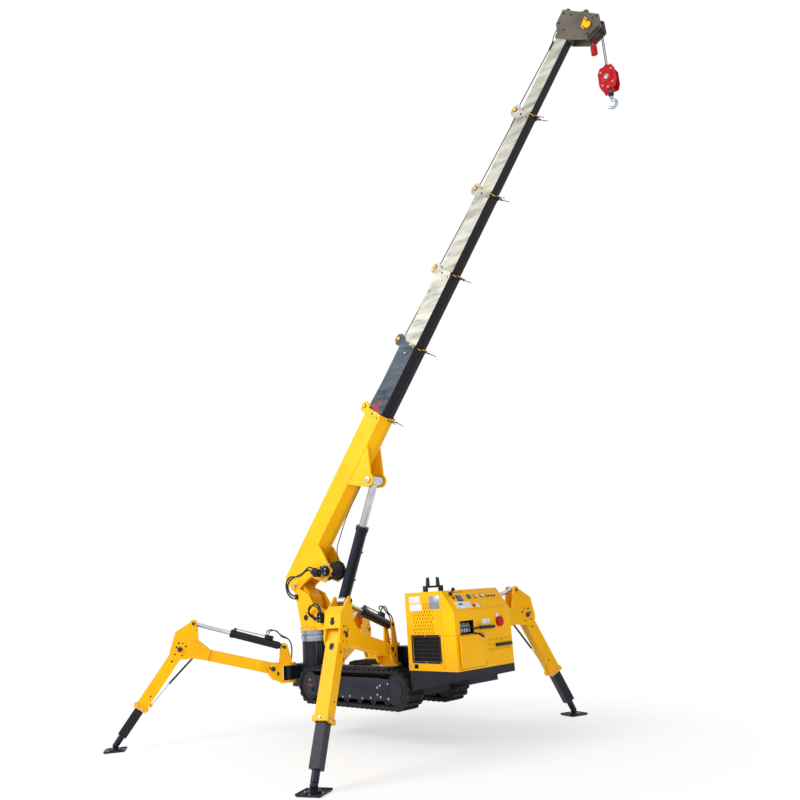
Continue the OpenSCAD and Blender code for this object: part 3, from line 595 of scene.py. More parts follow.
class BoomHeadTrim(Assembly):
    """Bolts, keepers, rope guard and cut-out of the load limiter at the boom head."""

    def dress(self) -> None:
        """Dress the head's plates and sheaves."""
        boom = self.places.boom()
        x, face = HEADS[5], 0.074
        steel, dark, wires, gold = Shape(), Shape(), Shape(), Shape()
        for side in Side:
            s = side.value
            for u, v in ((0.03, -0.28), (0.03, 0.03), (0.20, 0.03), (0.20, 0.13), (0.20, -0.25), (0.09, 0.13)):
                steel.bolt((x + u, s * face, v), (0, s, 0), 0.009, 0.008)
            gold.rod((6.665, s * 0.086, -0.240), (6.665, s * 0.098, -0.240), 0.036, 28, 0.004)
            y0, y1 = sorted((s * face, s * (face + 0.010)))
            gold.plate([(6.615, -0.215), (6.735, -0.190), (6.745, -0.150), (6.640, -0.165)], y0, y1, 0.003)
            for u, v in ((6.640, -0.196), (6.718, -0.172)):
                dark.bolt((u, s * (face + 0.010), v), (0, s, 0), 0.006, 0.006)
            dark.plate([(x - 0.02, -0.32), (x + 0.11, -0.385), (x + 0.12, -0.36), (x, -0.30)], *sorted((s * 0.074, s * 0.080)), 0.001)
        for u, v in ((x - 0.005, -0.315), (x + 0.225, -0.285), (x + 0.125, -0.372)):
            dark.rod((u, -0.080, v), (u, 0.080, v), 0.009, 16, 0.001)
        dark.box((x + 0.02, -0.058, 0.100), (x + 0.12, -0.012, 0.132), 0.004)
        dark.box((x + 0.13, 0.010, 0.100), (x + 0.19, 0.052, 0.122), 0.004)
        wires.torus((x + 0.120, -0.035, 0.116), (0, 1, 0), 0.012, 0.006)
        self.add(steel, "head_bolts", boom, "cast_iron", "boom_6_body", "bare_steel")
        self.add(gold, "sheave_pin_keepers", boom, "golden_enamel", "boom_6_body", "yellow_paint")
        self.add(dark, "head_guards", boom, "satin_black_enamel", "boom_6_body", "black_paint")
        self.add(wires, "head_switch_gland", boom, "hose_rubber", "boom_6_body", "black_paint")
        self.hose([(x + 0.10, -0.035, 0.118), (x + 0.02, -0.035, 0.150), (x - 0.10, -0.030, 0.130),
                   (x - 0.18, -0.020, 0.092)], 0.005, "head_switch_cable", boom, "hose_rubber", "boom_6_body",
                  "black_paint")


class Winch(Assembly):
    """Rope on the drum, flange bolts, the motor's fittings and its hoses."""

    DRUM = (0.009, -0.360)

    def dress(self) -> None:
        """Dress the winch below the foot of the boom."""
        boom = self.places.boom()
        self.rope(boom)
        u, v = self.DRUM
        steel, dark = Shape(), Shape()
        for side in Side:
            s = side.value
            for n in range(8):
                a = math.tau * n / 8
                steel.bolt((u + 0.094 * math.cos(a), s * 0.125, v + 0.094 * math.sin(a)), (0, s, 0), 0.008, 0.003)
            steel.bolt((u - 0.16, s * 0.125, 0.09), (0, s, 0), 0.009, 0.008)
        steel.rod((-0.408, -0.125, 0.090), (-0.408, -0.139, 0.090), 0.022, 20, 0.002)
        steel.rod((-0.408, 0.125, 0.090), (-0.408, 0.139, 0.090), 0.022, 20, 0.002)
        dark.rod((u, 0.125, v), (u, 0.142, v), 0.052, 28, 0.004)
        for n in range(6):
            a = math.tau * (n + 0.5) / 6
            steel.bolt((u + 0.050 * math.cos(a), -0.185, v + 0.050 * math.sin(a)), (0, -1, 0), 0.007, 0.006)
            steel.bolt((u + 0.036 * math.cos(a), 0.142, v + 0.036 * math.sin(a)), (0, 1, 0), 0.006, 0.005)
        dark.box((u - 0.115, -0.212, v + 0.096), (u - 0.040, -0.150, v + 0.132), 0.004)
        for dx in (-0.098, -0.058):
            steel.rod((u + dx, -0.185, v + 0.130), (u + dx, -0.185, v + 0.152), 0.011, 6, 0.001)
        dark.torus((u - 0.070, -0.217, v + 0.062), (0, 1, 0), 0.030, 0.005)
        dark.rod((u - 0.070, -0.217, v + 0.062), (u - 0.070, -0.224, v + 0.062), 0.020, 24, 0.002)
        self.add(steel, "winch_bolts", boom, "zinc_plate", "boom_base_body", "bare_steel")
        self.add(dark, "winch_fittings", boom, "satin_black_enamel", "boom_base_body", "black_paint")
        self.hoses(boom)

    def rope(self, boom: Matrix) -> None:
        """Wind the hoist rope on the drum and lead it along the belly to the cylinder's lug."""
        u, v = self.DRUM
        turns, reach, radius = 12, 0.072, 0.0903
        points = []
        for n in range(turns * 12 + 1):
            a = math.tau * n / 12
            points.append((u + radius * math.cos(a), -reach + 2 * reach * n / (turns * 12), v + radius * math.sin(a)))
        points += [(u + 0.0965, reach, v + 0.03), (0.22, 0.05, -0.240), (0.40, 0.03, -0.205), (0.70, 0.0, -0.180),
                   (1.00, 0.0, -0.172), (1.12, 0.0, -0.168)]
        self.hose(points, 0.0055, "hoist_rope", boom, "wire_rope", "boom_base_body", "rope_steel")

    def hoses(self, boom: Matrix) -> None:
        """Loop the motor's hoses from the boom down to the turret's cheek, across the luff joint."""
        turret = self.places.turret()
        u, v = self.DRUM
        for n, (dx, z, out) in enumerate(((-0.098, 1.480, 0.245), (-0.058, 1.515, 0.225))):
            route = [boom @ Vector(p) for p in ((u + dx, -0.185, v + 0.150), (u + dx - 0.020, -0.200, v + 0.190),
                                                (u + dx - 0.110, -out, v + 0.215))]
            route += [turret @ Vector(p) for p in ((-0.215, -out, 1.700 - 0.03 * n), (-0.262, -out + 0.02, z + 0.09),
                                                   (-0.215, -0.190, z), (-0.170, -0.165, z - 0.012))]
            made = self.hose(route, 0.010, f"winch_hose_{n}", Matrix.Identity(4), "hose_rubber", "", "black_paint",
                             ride=False)
            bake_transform(made)


class TurretDress(Assembly):
    """Bolts, pins, seals, fittings and hoses of the turret."""

    def dress(self) -> None:
        """Dress the turret's base plate, cheeks and pins."""
        turret = self.places.turret()
        steel, dark, brass = Shape(), Shape(), Shape()
        for n in range(15):
            a = math.radians(58 + 244 * n / 14)
            steel.bolt((0.188 * math.cos(a), 0.188 * math.sin(a), 1.125), (0, 0, 1), 0.010, 0.010)
        for x in (0.10, 0.18, 0.26, 0.34, 0.40):
            for side in Side:
                if abs(x - 0.22) > 0.05:
                    steel.bolt((x, side.value * 0.138, 1.125), (0, 0, 1), 0.009, 0.009)
        for side in Side:
            s = side.value
            for (x, z), start, r in (((0.350, 1.220), 0.094, 0.040), ((-0.2197, 1.6199), 0.128, 0.026)):
                steel.rod((x, s * start, z), (x, s * (start + 0.007), z), r, 24, 0.002)
                steel.bolt((x, s * (start + 0.007), z), (0, s, 0), 0.009, 0.007)
            for x, z in ((-0.150, 1.540), (-0.030, 1.150), (0.300, 1.270), (0.300, 1.160), (-0.085, 1.300)):
                steel.bolt((x, s * 0.150, z), (0, s, 0), 0.008, 0.008)
            dark.rod((-0.030, s * 0.150, 1.245), (-0.030, s * 0.154, 1.245), 0.034, 24, 0.001)
            dark.rod((0.115, s * 0.150, 1.225), (0.115, s * 0.154, 1.225), 0.022, 20, 0.001)
        dark.torus((0.0, 0.0, 1.0475), (0, 0, 1), 0.1825, 0.0035)
        for z in (1.476, 1.505):
            dark.box((-0.182, -0.176, z - 0.016), (-0.150, -0.150, z + 0.012), 0.003)
            brass.rod((-0.176, -0.170, z - 0.010), (-0.196, -0.178, z - 0.006), 0.012, 6, 0.001)
        for n in range(3):
            brass.rod((-0.01 + 0.02 * n, -0.152, 1.300), (-0.01 + 0.02 * n, -0.166, 1.300), 0.008, 6, 0.001)
        self.add(steel, "turret_bolts", turret, "zinc_plate", "turret_body", "bare_steel")
        self.add(dark, "turret_fittings", turret, "satin_black_enamel", "turret_body", "black_paint")
        self.add(brass, "turret_unions", turret, "brass_pad", "turret_body", "bare_steel")
        self.motor(turret)
        self.bundle(turret)

    def motor(self, turret: Matrix) -> None:
        """Add the slew motor's cover screws and its hose loop."""
        steel, dark = Shape(), Shape()
        for n in range(4):
            a = math.tau * (n + 0.5) / 4
            steel.bolt((0.230 + 0.031 * math.cos(a), -0.220, 1.230 + 0.031 * math.sin(a)), (0, -1, 0), 0.006, 0.006)
        dark.box((0.205, -0.214, 1.268), (0.255, -0.166, 1.298), 0.004)
        self.add(steel, "slew_motor_bolts", turret, "zinc_plate", "turret_body", "bare_steel")
        self.add(dark, "slew_motor_ports", turret, "satin_black_enamel", "turret_body", "black_paint")
        for n in range(2):
            dx = 0.026 * n
            route = [(0.217 + dx, -0.190, 1.296), (0.215 + dx, -0.192, 1.335), (0.165 + dx, -0.215, 1.375 + 0.02 * n),
                     (0.090 + dx, -0.215, 1.360), (0.060, -0.190, 1.300 - 0.02 * n), (0.090, -0.160, 1.258 - 0.02 * n),
                     (0.112, -0.151, 1.240 - 0.02 * n)]
            self.hose(route, 0.009, f"slew_hose_{n}", turret, "hose_rubber", "turret_body", "black_paint")

    def bundle(self, turret: Matrix) -> None:
        """Lead the hose bundle between the cheek and the cylinder's foot."""
        for n in range(4):
            y = -0.118 + 0.012 * n
            route = [(0.060 + 0.01 * n, y, 1.128), (0.075 + 0.01 * n, y, 1.200), (0.140, y, 1.262 + 0.012 * n),
                     (0.220, y + 0.004, 1.252 + 0.012 * n), (0.262, y + 0.010, 1.190), (0.268, y + 0.012, 1.130)]
            self.hose(route, 0.0075, f"foot_hose_{n}", turret, "hose_rubber", "turret_body", "black_paint")


class LuffCylinderDress(Assembly):
    """Gland ring, ports, hard pipe and pin caps of the luff cylinder."""

    def dress(self) -> None:
        """Dress the barrel; its pin caps belong to the boom."""
        flank = Matrix.Rotation(-math.pi / 2, 4, "X")
        place, boom = self.places.luff_cylinder() @ flank, self.places.boom()
        dark, steel, caps = Shape(), Shape(), Shape()
        dark.torus((1.096, 0, 0), (1, 0, 0), 0.058, 0.006).torus((1.050, 0, 0), (1, 0, 0), 0.072, 0.004)
        dark.box((0.150, -0.024, 0.058), (0.250, 0.024, 0.104), 0.004)
        dark.box((1.000, -0.018, 0.060), (1.040, 0.018, 0.092), 0.003)
        steel.rod((0.240, 0.010, 0.086), (1.010, 0.010, 0.084), 0.007, 14, 0.001)
        for x in (0.45, 0.78):
            dark.box((x, -0.010, 0.062), (x + 0.022, 0.026, 0.096), 0.002)
        for n in range(8):
            a = math.tau * n / 8
            steel.bolt((1.100, 0.066 * math.cos(a), 0.066 * math.sin(a)), (1, 0, 0), 0.006, 0.006)
        for x in (0.170, 0.230):
            steel.bolt((x, 0.0, 0.104), (0, 0, 1), 0.007, 0.007)
        for side in Side:
            s = side.value
            caps.rod((1.218, s * 0.140, -0.322), (1.218, s * 0.147, -0.322), 0.036, 24, 0.002)
            caps.bolt((1.218, s * 0.147, -0.322), (0, s, 0), 0.009, 0.007)
            for u, v in ((1.10, -0.20), (1.34, -0.22), (1.40, -0.12), (1.06, -0.10)):
                caps.bolt((u, s * 0.125, v), (0, s, 0), 0.008, 0.007)
        self.add(dark, "luff_barrel_fittings", place, "satin_black_enamel", "luff_barrel_body", "black_paint")
        self.add(steel, "luff_barrel_pipe", place, "zinc_plate", "luff_barrel_body", "bare_steel")
        self.add(caps, "luff_pin_caps", boom, "zinc_plate", "boom_base_body", "bare_steel")


class HookTackle(Assembly):
    """Pins, keepers, latch and becket of the hook block."""

    FALL = 2.4
    BLOCK_BODY = "hook_body"

    def dress(self) -> None:
        """Dress the block, the hook and the limit weight, which hang upright from the sheaves."""
        turret = self.places.turret()
        low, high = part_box("hook_block")
        centre = (Vector(low) + Vector(high)) / 2
        local = turret.inverted() @ centre
        x = local.x
        steel, red, dark = Shape(), Shape(), Shape()
        for side in Side:
            s = side.value
            steel.rod((x, s * 0.054, 6.430), (x, s * 0.066, 6.430), 0.026, 24, 0.003)
            for dx, z in ((-0.055, 6.350), (0.055, 6.350), (-0.055, 6.500), (0.055, 6.500), (0, 6.310)):
                steel.bolt((x + dx, s * 0.054, z), (0, s, 0), 0.008, 0.008)
            y0, y1 = sorted((s * 0.054, s * 0.060))
            red.plate([(x - 0.050, 6.375), (x + 0.050, 6.375), (x + 0.062, 6.430), (x + 0.050, 6.485), (x - 0.050, 6.485),
                       (x - 0.062, 6.430)], y0, y1, 0.002)
            dark.rod((x, s * 0.012, 6.554), (x, s * 0.036, 6.554), 0.030, 20, 0.002)
        dark.rod((x, 0, 6.262), (x, 0, 6.236), 0.030, 6, 0.003)
        dark.rod((x, 0, 6.236), (x, 0, 6.222), 0.022, 24, 0.002)
        steel.plate([(x - 0.006, 6.182), (x + 0.008, 6.182), (x + 0.052, 6.118), (x + 0.044, 6.112)], -0.010, 0.010, 0.001)
        steel.rod((x, -0.016, 6.183), (x, 0.016, 6.183), 0.006, 14, 0.001)
        self.add(steel, "hook_block_pins", turret, "zinc_plate", self.BLOCK_BODY, "bare_steel")
        self.add(red, "hook_block_doublers", turret, "red_enamel", self.BLOCK_BODY, "red_paint")
        self.add(dark, "hook_block_swivel", turret, "satin_black_enamel", self.BLOCK_BODY, "black_paint")
        weight = turret.inverted() @ ((Vector(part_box("limit_weight")[0]) + Vector(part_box("limit_weight")[1])) / 2)
        trim = Shape().rod((weight.x, 0, 6.880), (weight.x, 0, 6.892), 0.016, 20, 0.002)
        trim.torus((weight.x, 0, 6.900), (0, 1, 0), 0.012, 0.003)
        self.add(trim, "limit_weight_eye", turret, "zinc_plate", self.BLOCK_BODY, "bare_steel")


class OutriggerDress(Assembly):
    """Pin caps, index holes drawn as dark discs of painted shade, cylinder fittings, hoses, damper and foot bolts of
    the four outriggers.
    """

    ARM_LENGTH = 1.070
    EAR = (1.005, 0.296)
    LIFT_PIN = (0.050, 0.227)

    def dress(self) -> None:
        """Dress each leg with the same pieces in its own frames."""
        for k in LEG_NAMES:
            self.knuckle(k)
            self.arm(k)
            self.lower(k)
            self.cylinder(k)
            self.hoses(k)

    def cap(self, shape: Shape, x: float, y: float, z: float, r: float, s: int) -> None:
        """Close a pin's end with a washer, a keeper bar and its bolt."""
        shape.rod((x, s * (y - 0.001), z), (x, s * (y + 0.005), z), r, 24, 0.0015)
        shape.rod((x, s * (y + 0.004), z), (x, s * (y + 0.009), z), r * 0.55, 20, 0.0015)
        shape.bolt((x + r * 1.45, s * y, z + r * 0.5), (0, s, 0), 0.008, 0.007)

    def knuckle(self, k: str) -> None:
        """Cap the knuckle's pins, bolt the swivel pin's keeper on top and lay a dark plate of painted shade for the
        slot in each side.
        """
        place, steel, dark = self.places.leg(k), Shape(), Shape()
        for side in Side:
            self.cap(steel, 0.185, 0.085, 0.0, 0.026, side.value)
            self.cap(steel, *(self.LIFT_PIN[0], 0.046, self.LIFT_PIN[1]), 0.018, side.value)
            s = side.value
            # A dark plate of painted shade stands for the slot in each side.
            y0, y1 = sorted((s * 0.085, s * 0.088))
            dark.plate([(0.120, -0.070), (0.142, -0.078), (0.142, -0.040), (0.120, -0.036)], y0, y1, 0.001)
        steel.rod((0, 0, 0.050), (0, 0, 0.058), 0.040, 28, 0.002)
        for a in (0.6, 2.7, 4.8):
            steel.bolt((0.026 * math.cos(a), 0.026 * math.sin(a), 0.058), (0, 0, 1), 0.008, 0.007)
        self.add(steel, f"knuckle_pins_{k}", place, "cast_iron", f"knuckle_{k}_body", "bare_steel")
        self.add(dark, f"knuckle_slot_shade_{k}", place, "satin_black_enamel", f"knuckle_{k}_body", "black_paint")

    def arm(self, k: str) -> None:
        """Add the knee's index holes as dark discs of painted shade in gold rims, the ear's pin, the doubler near the
        knuckle and the weld beads, with further dark discs of painted shade for a hole by the ear and two holes in the
        knee's end.
        """
        place, knee = self.places.arm(k), self.ARM_LENGTH
        steel, dark, gold = Shape(), Shape(), Shape()
        for side in Side:
            s = side.value
            steel.rod((self.EAR[0], s * 0.090, self.EAR[1]), (self.EAR[0], s * 0.096, self.EAR[1]), 0.017, 20, 0.0015)
            self.cap(steel, knee, 0.090, 0.0, 0.028, s)
            for angle, r in ((62, 0.011), (100, 0.008), (140, 0.011), (-58, 0.009), (-125, 0.008)):
                x, z = knee + 0.070 * math.cos(math.radians(angle)), 0.070 * math.sin(math.radians(angle))
                # Each index hole is a dark disc of painted shade inside a gold rim.
                dark.rod((x, s * 0.0765, z), (x, s * 0.0782, z), r, 18)
                gold.torus((x, s * 0.0775, z), (0, 1, 0), r + 0.0025, 0.0018)
            # A dark disc of painted shade stands for the hole by the ear.
            dark.rod((self.EAR[0] - 0.060, s * 0.0765, 0.238), (self.EAR[0] - 0.060, s * 0.0782, 0.238), 0.007, 16)
            for x in (0.735,):
                gold.rod((x, s * 0.0655, -0.056), (x, s * 0.0655, 0.055), 0.005, 10, 0.001)
            arc = [(knee - 0.115 + 0.105 * math.cos(math.radians(a)), 0.045 + 0.082 * math.sin(math.radians(a)))
                   for a in range(20, 131, 10)]
            for p, q in zip(arc, arc[1:]):
                gold.rod((p[0], s * 0.077, p[1]), (q[0], s * 0.077, q[1]), 0.0032, 8)
            y0, y1 = sorted((s * 0.0645, s * 0.0705))
            round_end = [(0.150 + 0.055 * math.cos(math.radians(a)), 0.055 * math.sin(math.radians(a)))
                         for a in range(90, -91, -15)]
            gold.plate([(0.062, 0.055)] + round_end + [(0.062, -0.055)], y0, y1, 0.001)
        # Two dark discs of painted shade stand for the holes in the knee's end.
        for z, r in ((0.088, 0.022), (0.116, 0.017)):
            dark.rod((knee + 0.1010, 0.0, z), (knee + 0.1032, 0.0, z), r, 24)
        self.add(steel, f"arm_pins_{k}", place, "cast_iron", f"arm_{k}_body", "bare_steel")
        self.add(dark, f"arm_index_hole_shade_{k}", place, "satin_black_enamel", f"arm_{k}_body", "black_paint")
        self.add(gold, f"arm_doublers_{k}", place, "golden_enamel", f"arm_{k}_body", "yellow_paint")

    def lower(self, k: str) -> None:
        """Add the lower leg's bolts, its holes as dark discs of painted shade and its damper, the inner leg's holes as
        dark discs of painted shade, and the foot's bolts.
        """
        place, dark, steel, rod = self.places.lower(k), Shape(), Shape(), Shape()
        gold = Shape()
        # Two overlapping dark discs of painted shade stand for a long hole near the knee.
        for x in (0.118, 0.136):
            dark.rod((x, 0.0, 0.0655), (x, 0.0, 0.0672), 0.021, 22)
        for side in Side:
            s = side.value
            # Dark discs of painted shade stand for the holes in the sides.
            dark.rod((0.150, s * 0.0585, 0.0), (0.150, s * 0.0602, 0.0), 0.011, 18)
            dark.rod((0.560, s * 0.0585, -0.020), (0.560, s * 0.0602, -0.020), 0.009, 18)
            steel.bolt((0.705, s * 0.071, 0.030), (0, s, 0), 0.010, 0.009)
            steel.bolt((0.705, s * 0.071, -0.030), (0, s, 0), 0.010, 0.009)
            y0, y1 = sorted((s * 0.059, s * 0.062))
            gold.box((0.080, y0, -0.060), (0.130, y1, 0.060), 0.001)
        for z in (0.078, -0.078):
            steel.bolt((0.705, 0.0, z), (0, 0, 1 if z > 0 else -1), 0.010, 0.009)
        dark.rod((0.030, 0.0, -0.170), (0.360, 0.0, -0.112), 0.0105, 18, 0.002)
        dark.ball((0.020, 0.0, -0.172), 0.012)
        rod.rod((0.355, 0.0, -0.113), (0.640, 0.0, -0.0800), 0.0045, 12)
        gold.box((0.625, -0.009, -0.092), (0.660, 0.009, -0.063), 0.002)
        self.add(dark, f"leg_hole_shade_and_damper_{k}", place, "satin_black_enamel", f"outer_leg_{k}_body", "black_paint")
        self.add(rod, f"leg_damper_rod_{k}", place, "hard_chrome", f"outer_leg_{k}_body", "rod_chrome")
        self.add(steel, f"leg_bolts_{k}", place, "zinc_plate", f"outer_leg_{k}_body", "bare_steel")
        self.add(gold, f"leg_doublers_{k}", place, "golden_enamel", f"outer_leg_{k}_body", "yellow_paint")
        inner, foot = Shape(), Shape()
        for side in Side:
            s = side.value
            # Dark discs of painted shade stand for the inner leg's holes.
            for x in (0.80, 0.90):
                inner.rod((x, s * 0.0440, 0.0), (x, s * 0.0454, 0.0), 0.010, 18)
        self.add(inner, f"inner_leg_hole_shade_{k}", place, "satin_black_enamel", f"inner_leg_{k}_body", "black_paint")
        low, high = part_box(f"foot_{k}")
        centre = ((low[0] + high[0]) / 2, (low[1] + high[1]) / 2)
        turn = self.places.leg(k).to_3x3().to_4x4()
        spot = Matrix.Translation((centre[0], centre[1], 0.0)) @ turn
        for a in range(4):
            x, y = 0.078 * math.cos(math.pi / 2 * a), 0.078 * math.sin(math.pi / 2 * a)
            foot.bolt((x, y, 0.010), (0, 0, 1), 0.009, 0.008)
        self.add(foot, f"foot_bolts_{k}", spot, "zinc_plate", f"inner_leg_{k}_body", "bare_steel")

    def cylinder(self, k: str) -> None:
        """Add the lift cylinder's valve block, hard pipe, gland ring and unions."""
        place, dark, steel = self.places.lift_cylinder(k), Shape(), Shape()
        dark.box((0.150, -0.022, 0.036), (0.250, 0.022, 0.084), 0.004)
        dark.rod((0.185, -0.030, 0.062), (0.185, 0.030, 0.062), 0.014, 16, 0.002)
        dark.box((0.585, -0.014, 0.038), (0.615, 0.014, 0.068), 0.003)
        dark.torus((0.600, 0, 0), (1, 0, 0), 0.0455, 0.003).torus((0.6405, 0, 0), (1, 0, 0), 0.030, 0.004)
        steel.rod((0.245, 0.006, 0.066), (0.588, 0.006, 0.060), 0.006, 12)
        for x in (0.215, 0.240):
            steel.rod((x, 0.0, 0.080), (x, 0.0, 0.098), 0.009, 6, 0.001)
        steel.bolt((0.175, 0.0, 0.084), (0, 0, 1), 0.007, 0.006)
        self.add(dark, f"lift_valve_{k}", place, "satin_black_enamel", f"lift_barrel_{k}_body", "black_paint")
        self.add(steel, f"lift_pipe_{k}", place, "zinc_plate", f"lift_barrel_{k}_body", "bare_steel")

    def hoses(self, k: str) -> None:
        """Loop two hoses from the valve block back over the knuckle, and clamp them on its upright plate."""
        barrel, leg = self.places.lift_cylinder(k), self.places.leg(k)
        for n, (x, y) in enumerate(((0.215, 0.012), (0.240, -0.012))):
            route = [barrel @ Vector(p) for p in ((x, 0.0, 0.094), (x - 0.004, y, 0.125), (x - 0.070, y, 0.150))]
            route += [leg @ Vector(p) for p in ((0.075, y, 0.345 + 0.012 * n), (-0.010, y, 0.300), (-0.038, y, 0.200),
                                                (-0.032, y, 0.110), (-0.020, y, 0.062))]
            made = self.hose(route, 0.0065, f"lift_hose_{k}_{n}", Matrix.Identity(4), "hose_rubber", "", "black_paint",
                             ride=False)
            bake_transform(made)
        clamp = Shape().box((-0.036, -0.026, 0.076), (-0.018, 0.026, 0.096), 0.002)
        self.add(clamp, f"hose_clamp_{k}", leg, "satin_black_enamel", f"knuckle_{k}_body", "black_paint")


class UndercarriageDress(Assembly):
    """Side covers, bolts and marks of the track frames, and the bolts of the pedestal and posts."""

    OUTER = 0.4185

    def dress(self) -> None:
        """Dress both track frames alike, then the pedestal."""
        world = Matrix.Identity(4)
        cover, steel, red, dark = Shape(), Shape(), Shape(), Shape()
        for side in Side:
            s = side.value
            y0, y1 = sorted((s * (self.OUTER - 0.006), s * self.OUTER))
            cover.plate([(1.215, 0.520), (1.205, 0.600), (1.130, 0.652), (0.020, 0.652), (-0.140, 0.640),
                         (-0.140, 0.462), (-0.030, 0.440), (1.130, 0.440), (1.190, 0.470)], y0, y1, 0.003)
            for x, z in ((0.040, 0.563), (-0.002, 0.582), (-0.118, 0.602), (0.042, 0.494), (-0.005, 0.475),
                         (-0.118, 0.463), (0.474, 0.464), (0.145, 0.462), (0.584, 0.452), (0.273, 0.452),
                         (0.760, 0.452), (0.980, 0.452), (1.150, 0.600)):
                steel.bolt((x, s * self.OUTER, z), (0, s, 0), 0.0085, 0.007)
            y0, y1 = sorted((s * self.OUTER, s * (self.OUTER + 0.0012)))
            red.box((1.110, y0, 0.540), (1.175, y1, 0.552))
            dark.rod((1.120, s * self.OUTER, 0.500), (1.120, s * (self.OUTER + 0.010), 0.500), 0.022, 24, 0.003)
            for x in (-0.235, 1.160):
                dark.torus((x, s * 0.4165, 0.554), (0, 1, 0), 0.128, 0.007)
                dark.rod((x, s * 0.4155, 0.554), (x, s * 0.4180, 0.554), 0.132, 40)
                for n in range(12):
                    a = math.tau * n / 12
                    dark.rod((x + 0.134 * math.cos(a), s * 0.412, 0.554 + 0.134 * math.sin(a)),
                             (x + 0.134 * math.cos(a), s * 0.421, 0.554 + 0.134 * math.sin(a)), 0.010, 12, 0.001)
        self.add(cover, "track_frame_covers", world, "navy_enamel", "undercarriage", "navy_paint")
        self.add(steel, "track_frame_bolts", world, "zinc_plate", "undercarriage", "bare_steel")
        self.add(red, "track_frame_marks", world, "red_enamel", "undercarriage", "red_paint")
        self.add(dark, "track_frame_hubs", world, "satin_black_enamel", "undercarriage", "black_paint")
        self.pedestal(world)

    def pedestal(self, world: Matrix) -> None:
        """Bolt the slew ring down and lead three hoses up the pedestal."""
        steel = Shape()
        for n in range(18):
            a = math.tau * n / 18
            steel.bolt((1.550 + 0.165 * math.cos(a), 0.165 * math.sin(a), 0.7305), (0, 0, 1), 0.009, 0.008)
        for side in Side:
            s = side.value
            for x in (1.42, 1.76):
                for z in (0.530, 0.680):
                    steel.bolt((x, s * 0.190, z), (0, s, 0), 0.009, 0.008)
            for z in (0.760, 0.980, 1.180):
                for x in (-0.350, -0.270):
                    steel.bolt((x, s * 0.205, z), (0, s, 0), 0.009, 0.008)
        self.add(steel, "pedestal_bolts", world, "zinc_plate", "undercarriage", "bare_steel")
        for n in range(3):
            y = 0.120 + 0.028 * n
            route = [(1.400, y, 0.700), (1.352, y, 0.745), (1.330, y + 0.004, 0.820), (1.345, y - 0.010, 0.930),
                     (1.372, y - 0.030, 0.976)]
            self.hose(route, 0.009, f"pedestal_hose_{n}", world, "hose_rubber", "undercarriage", "black_paint")


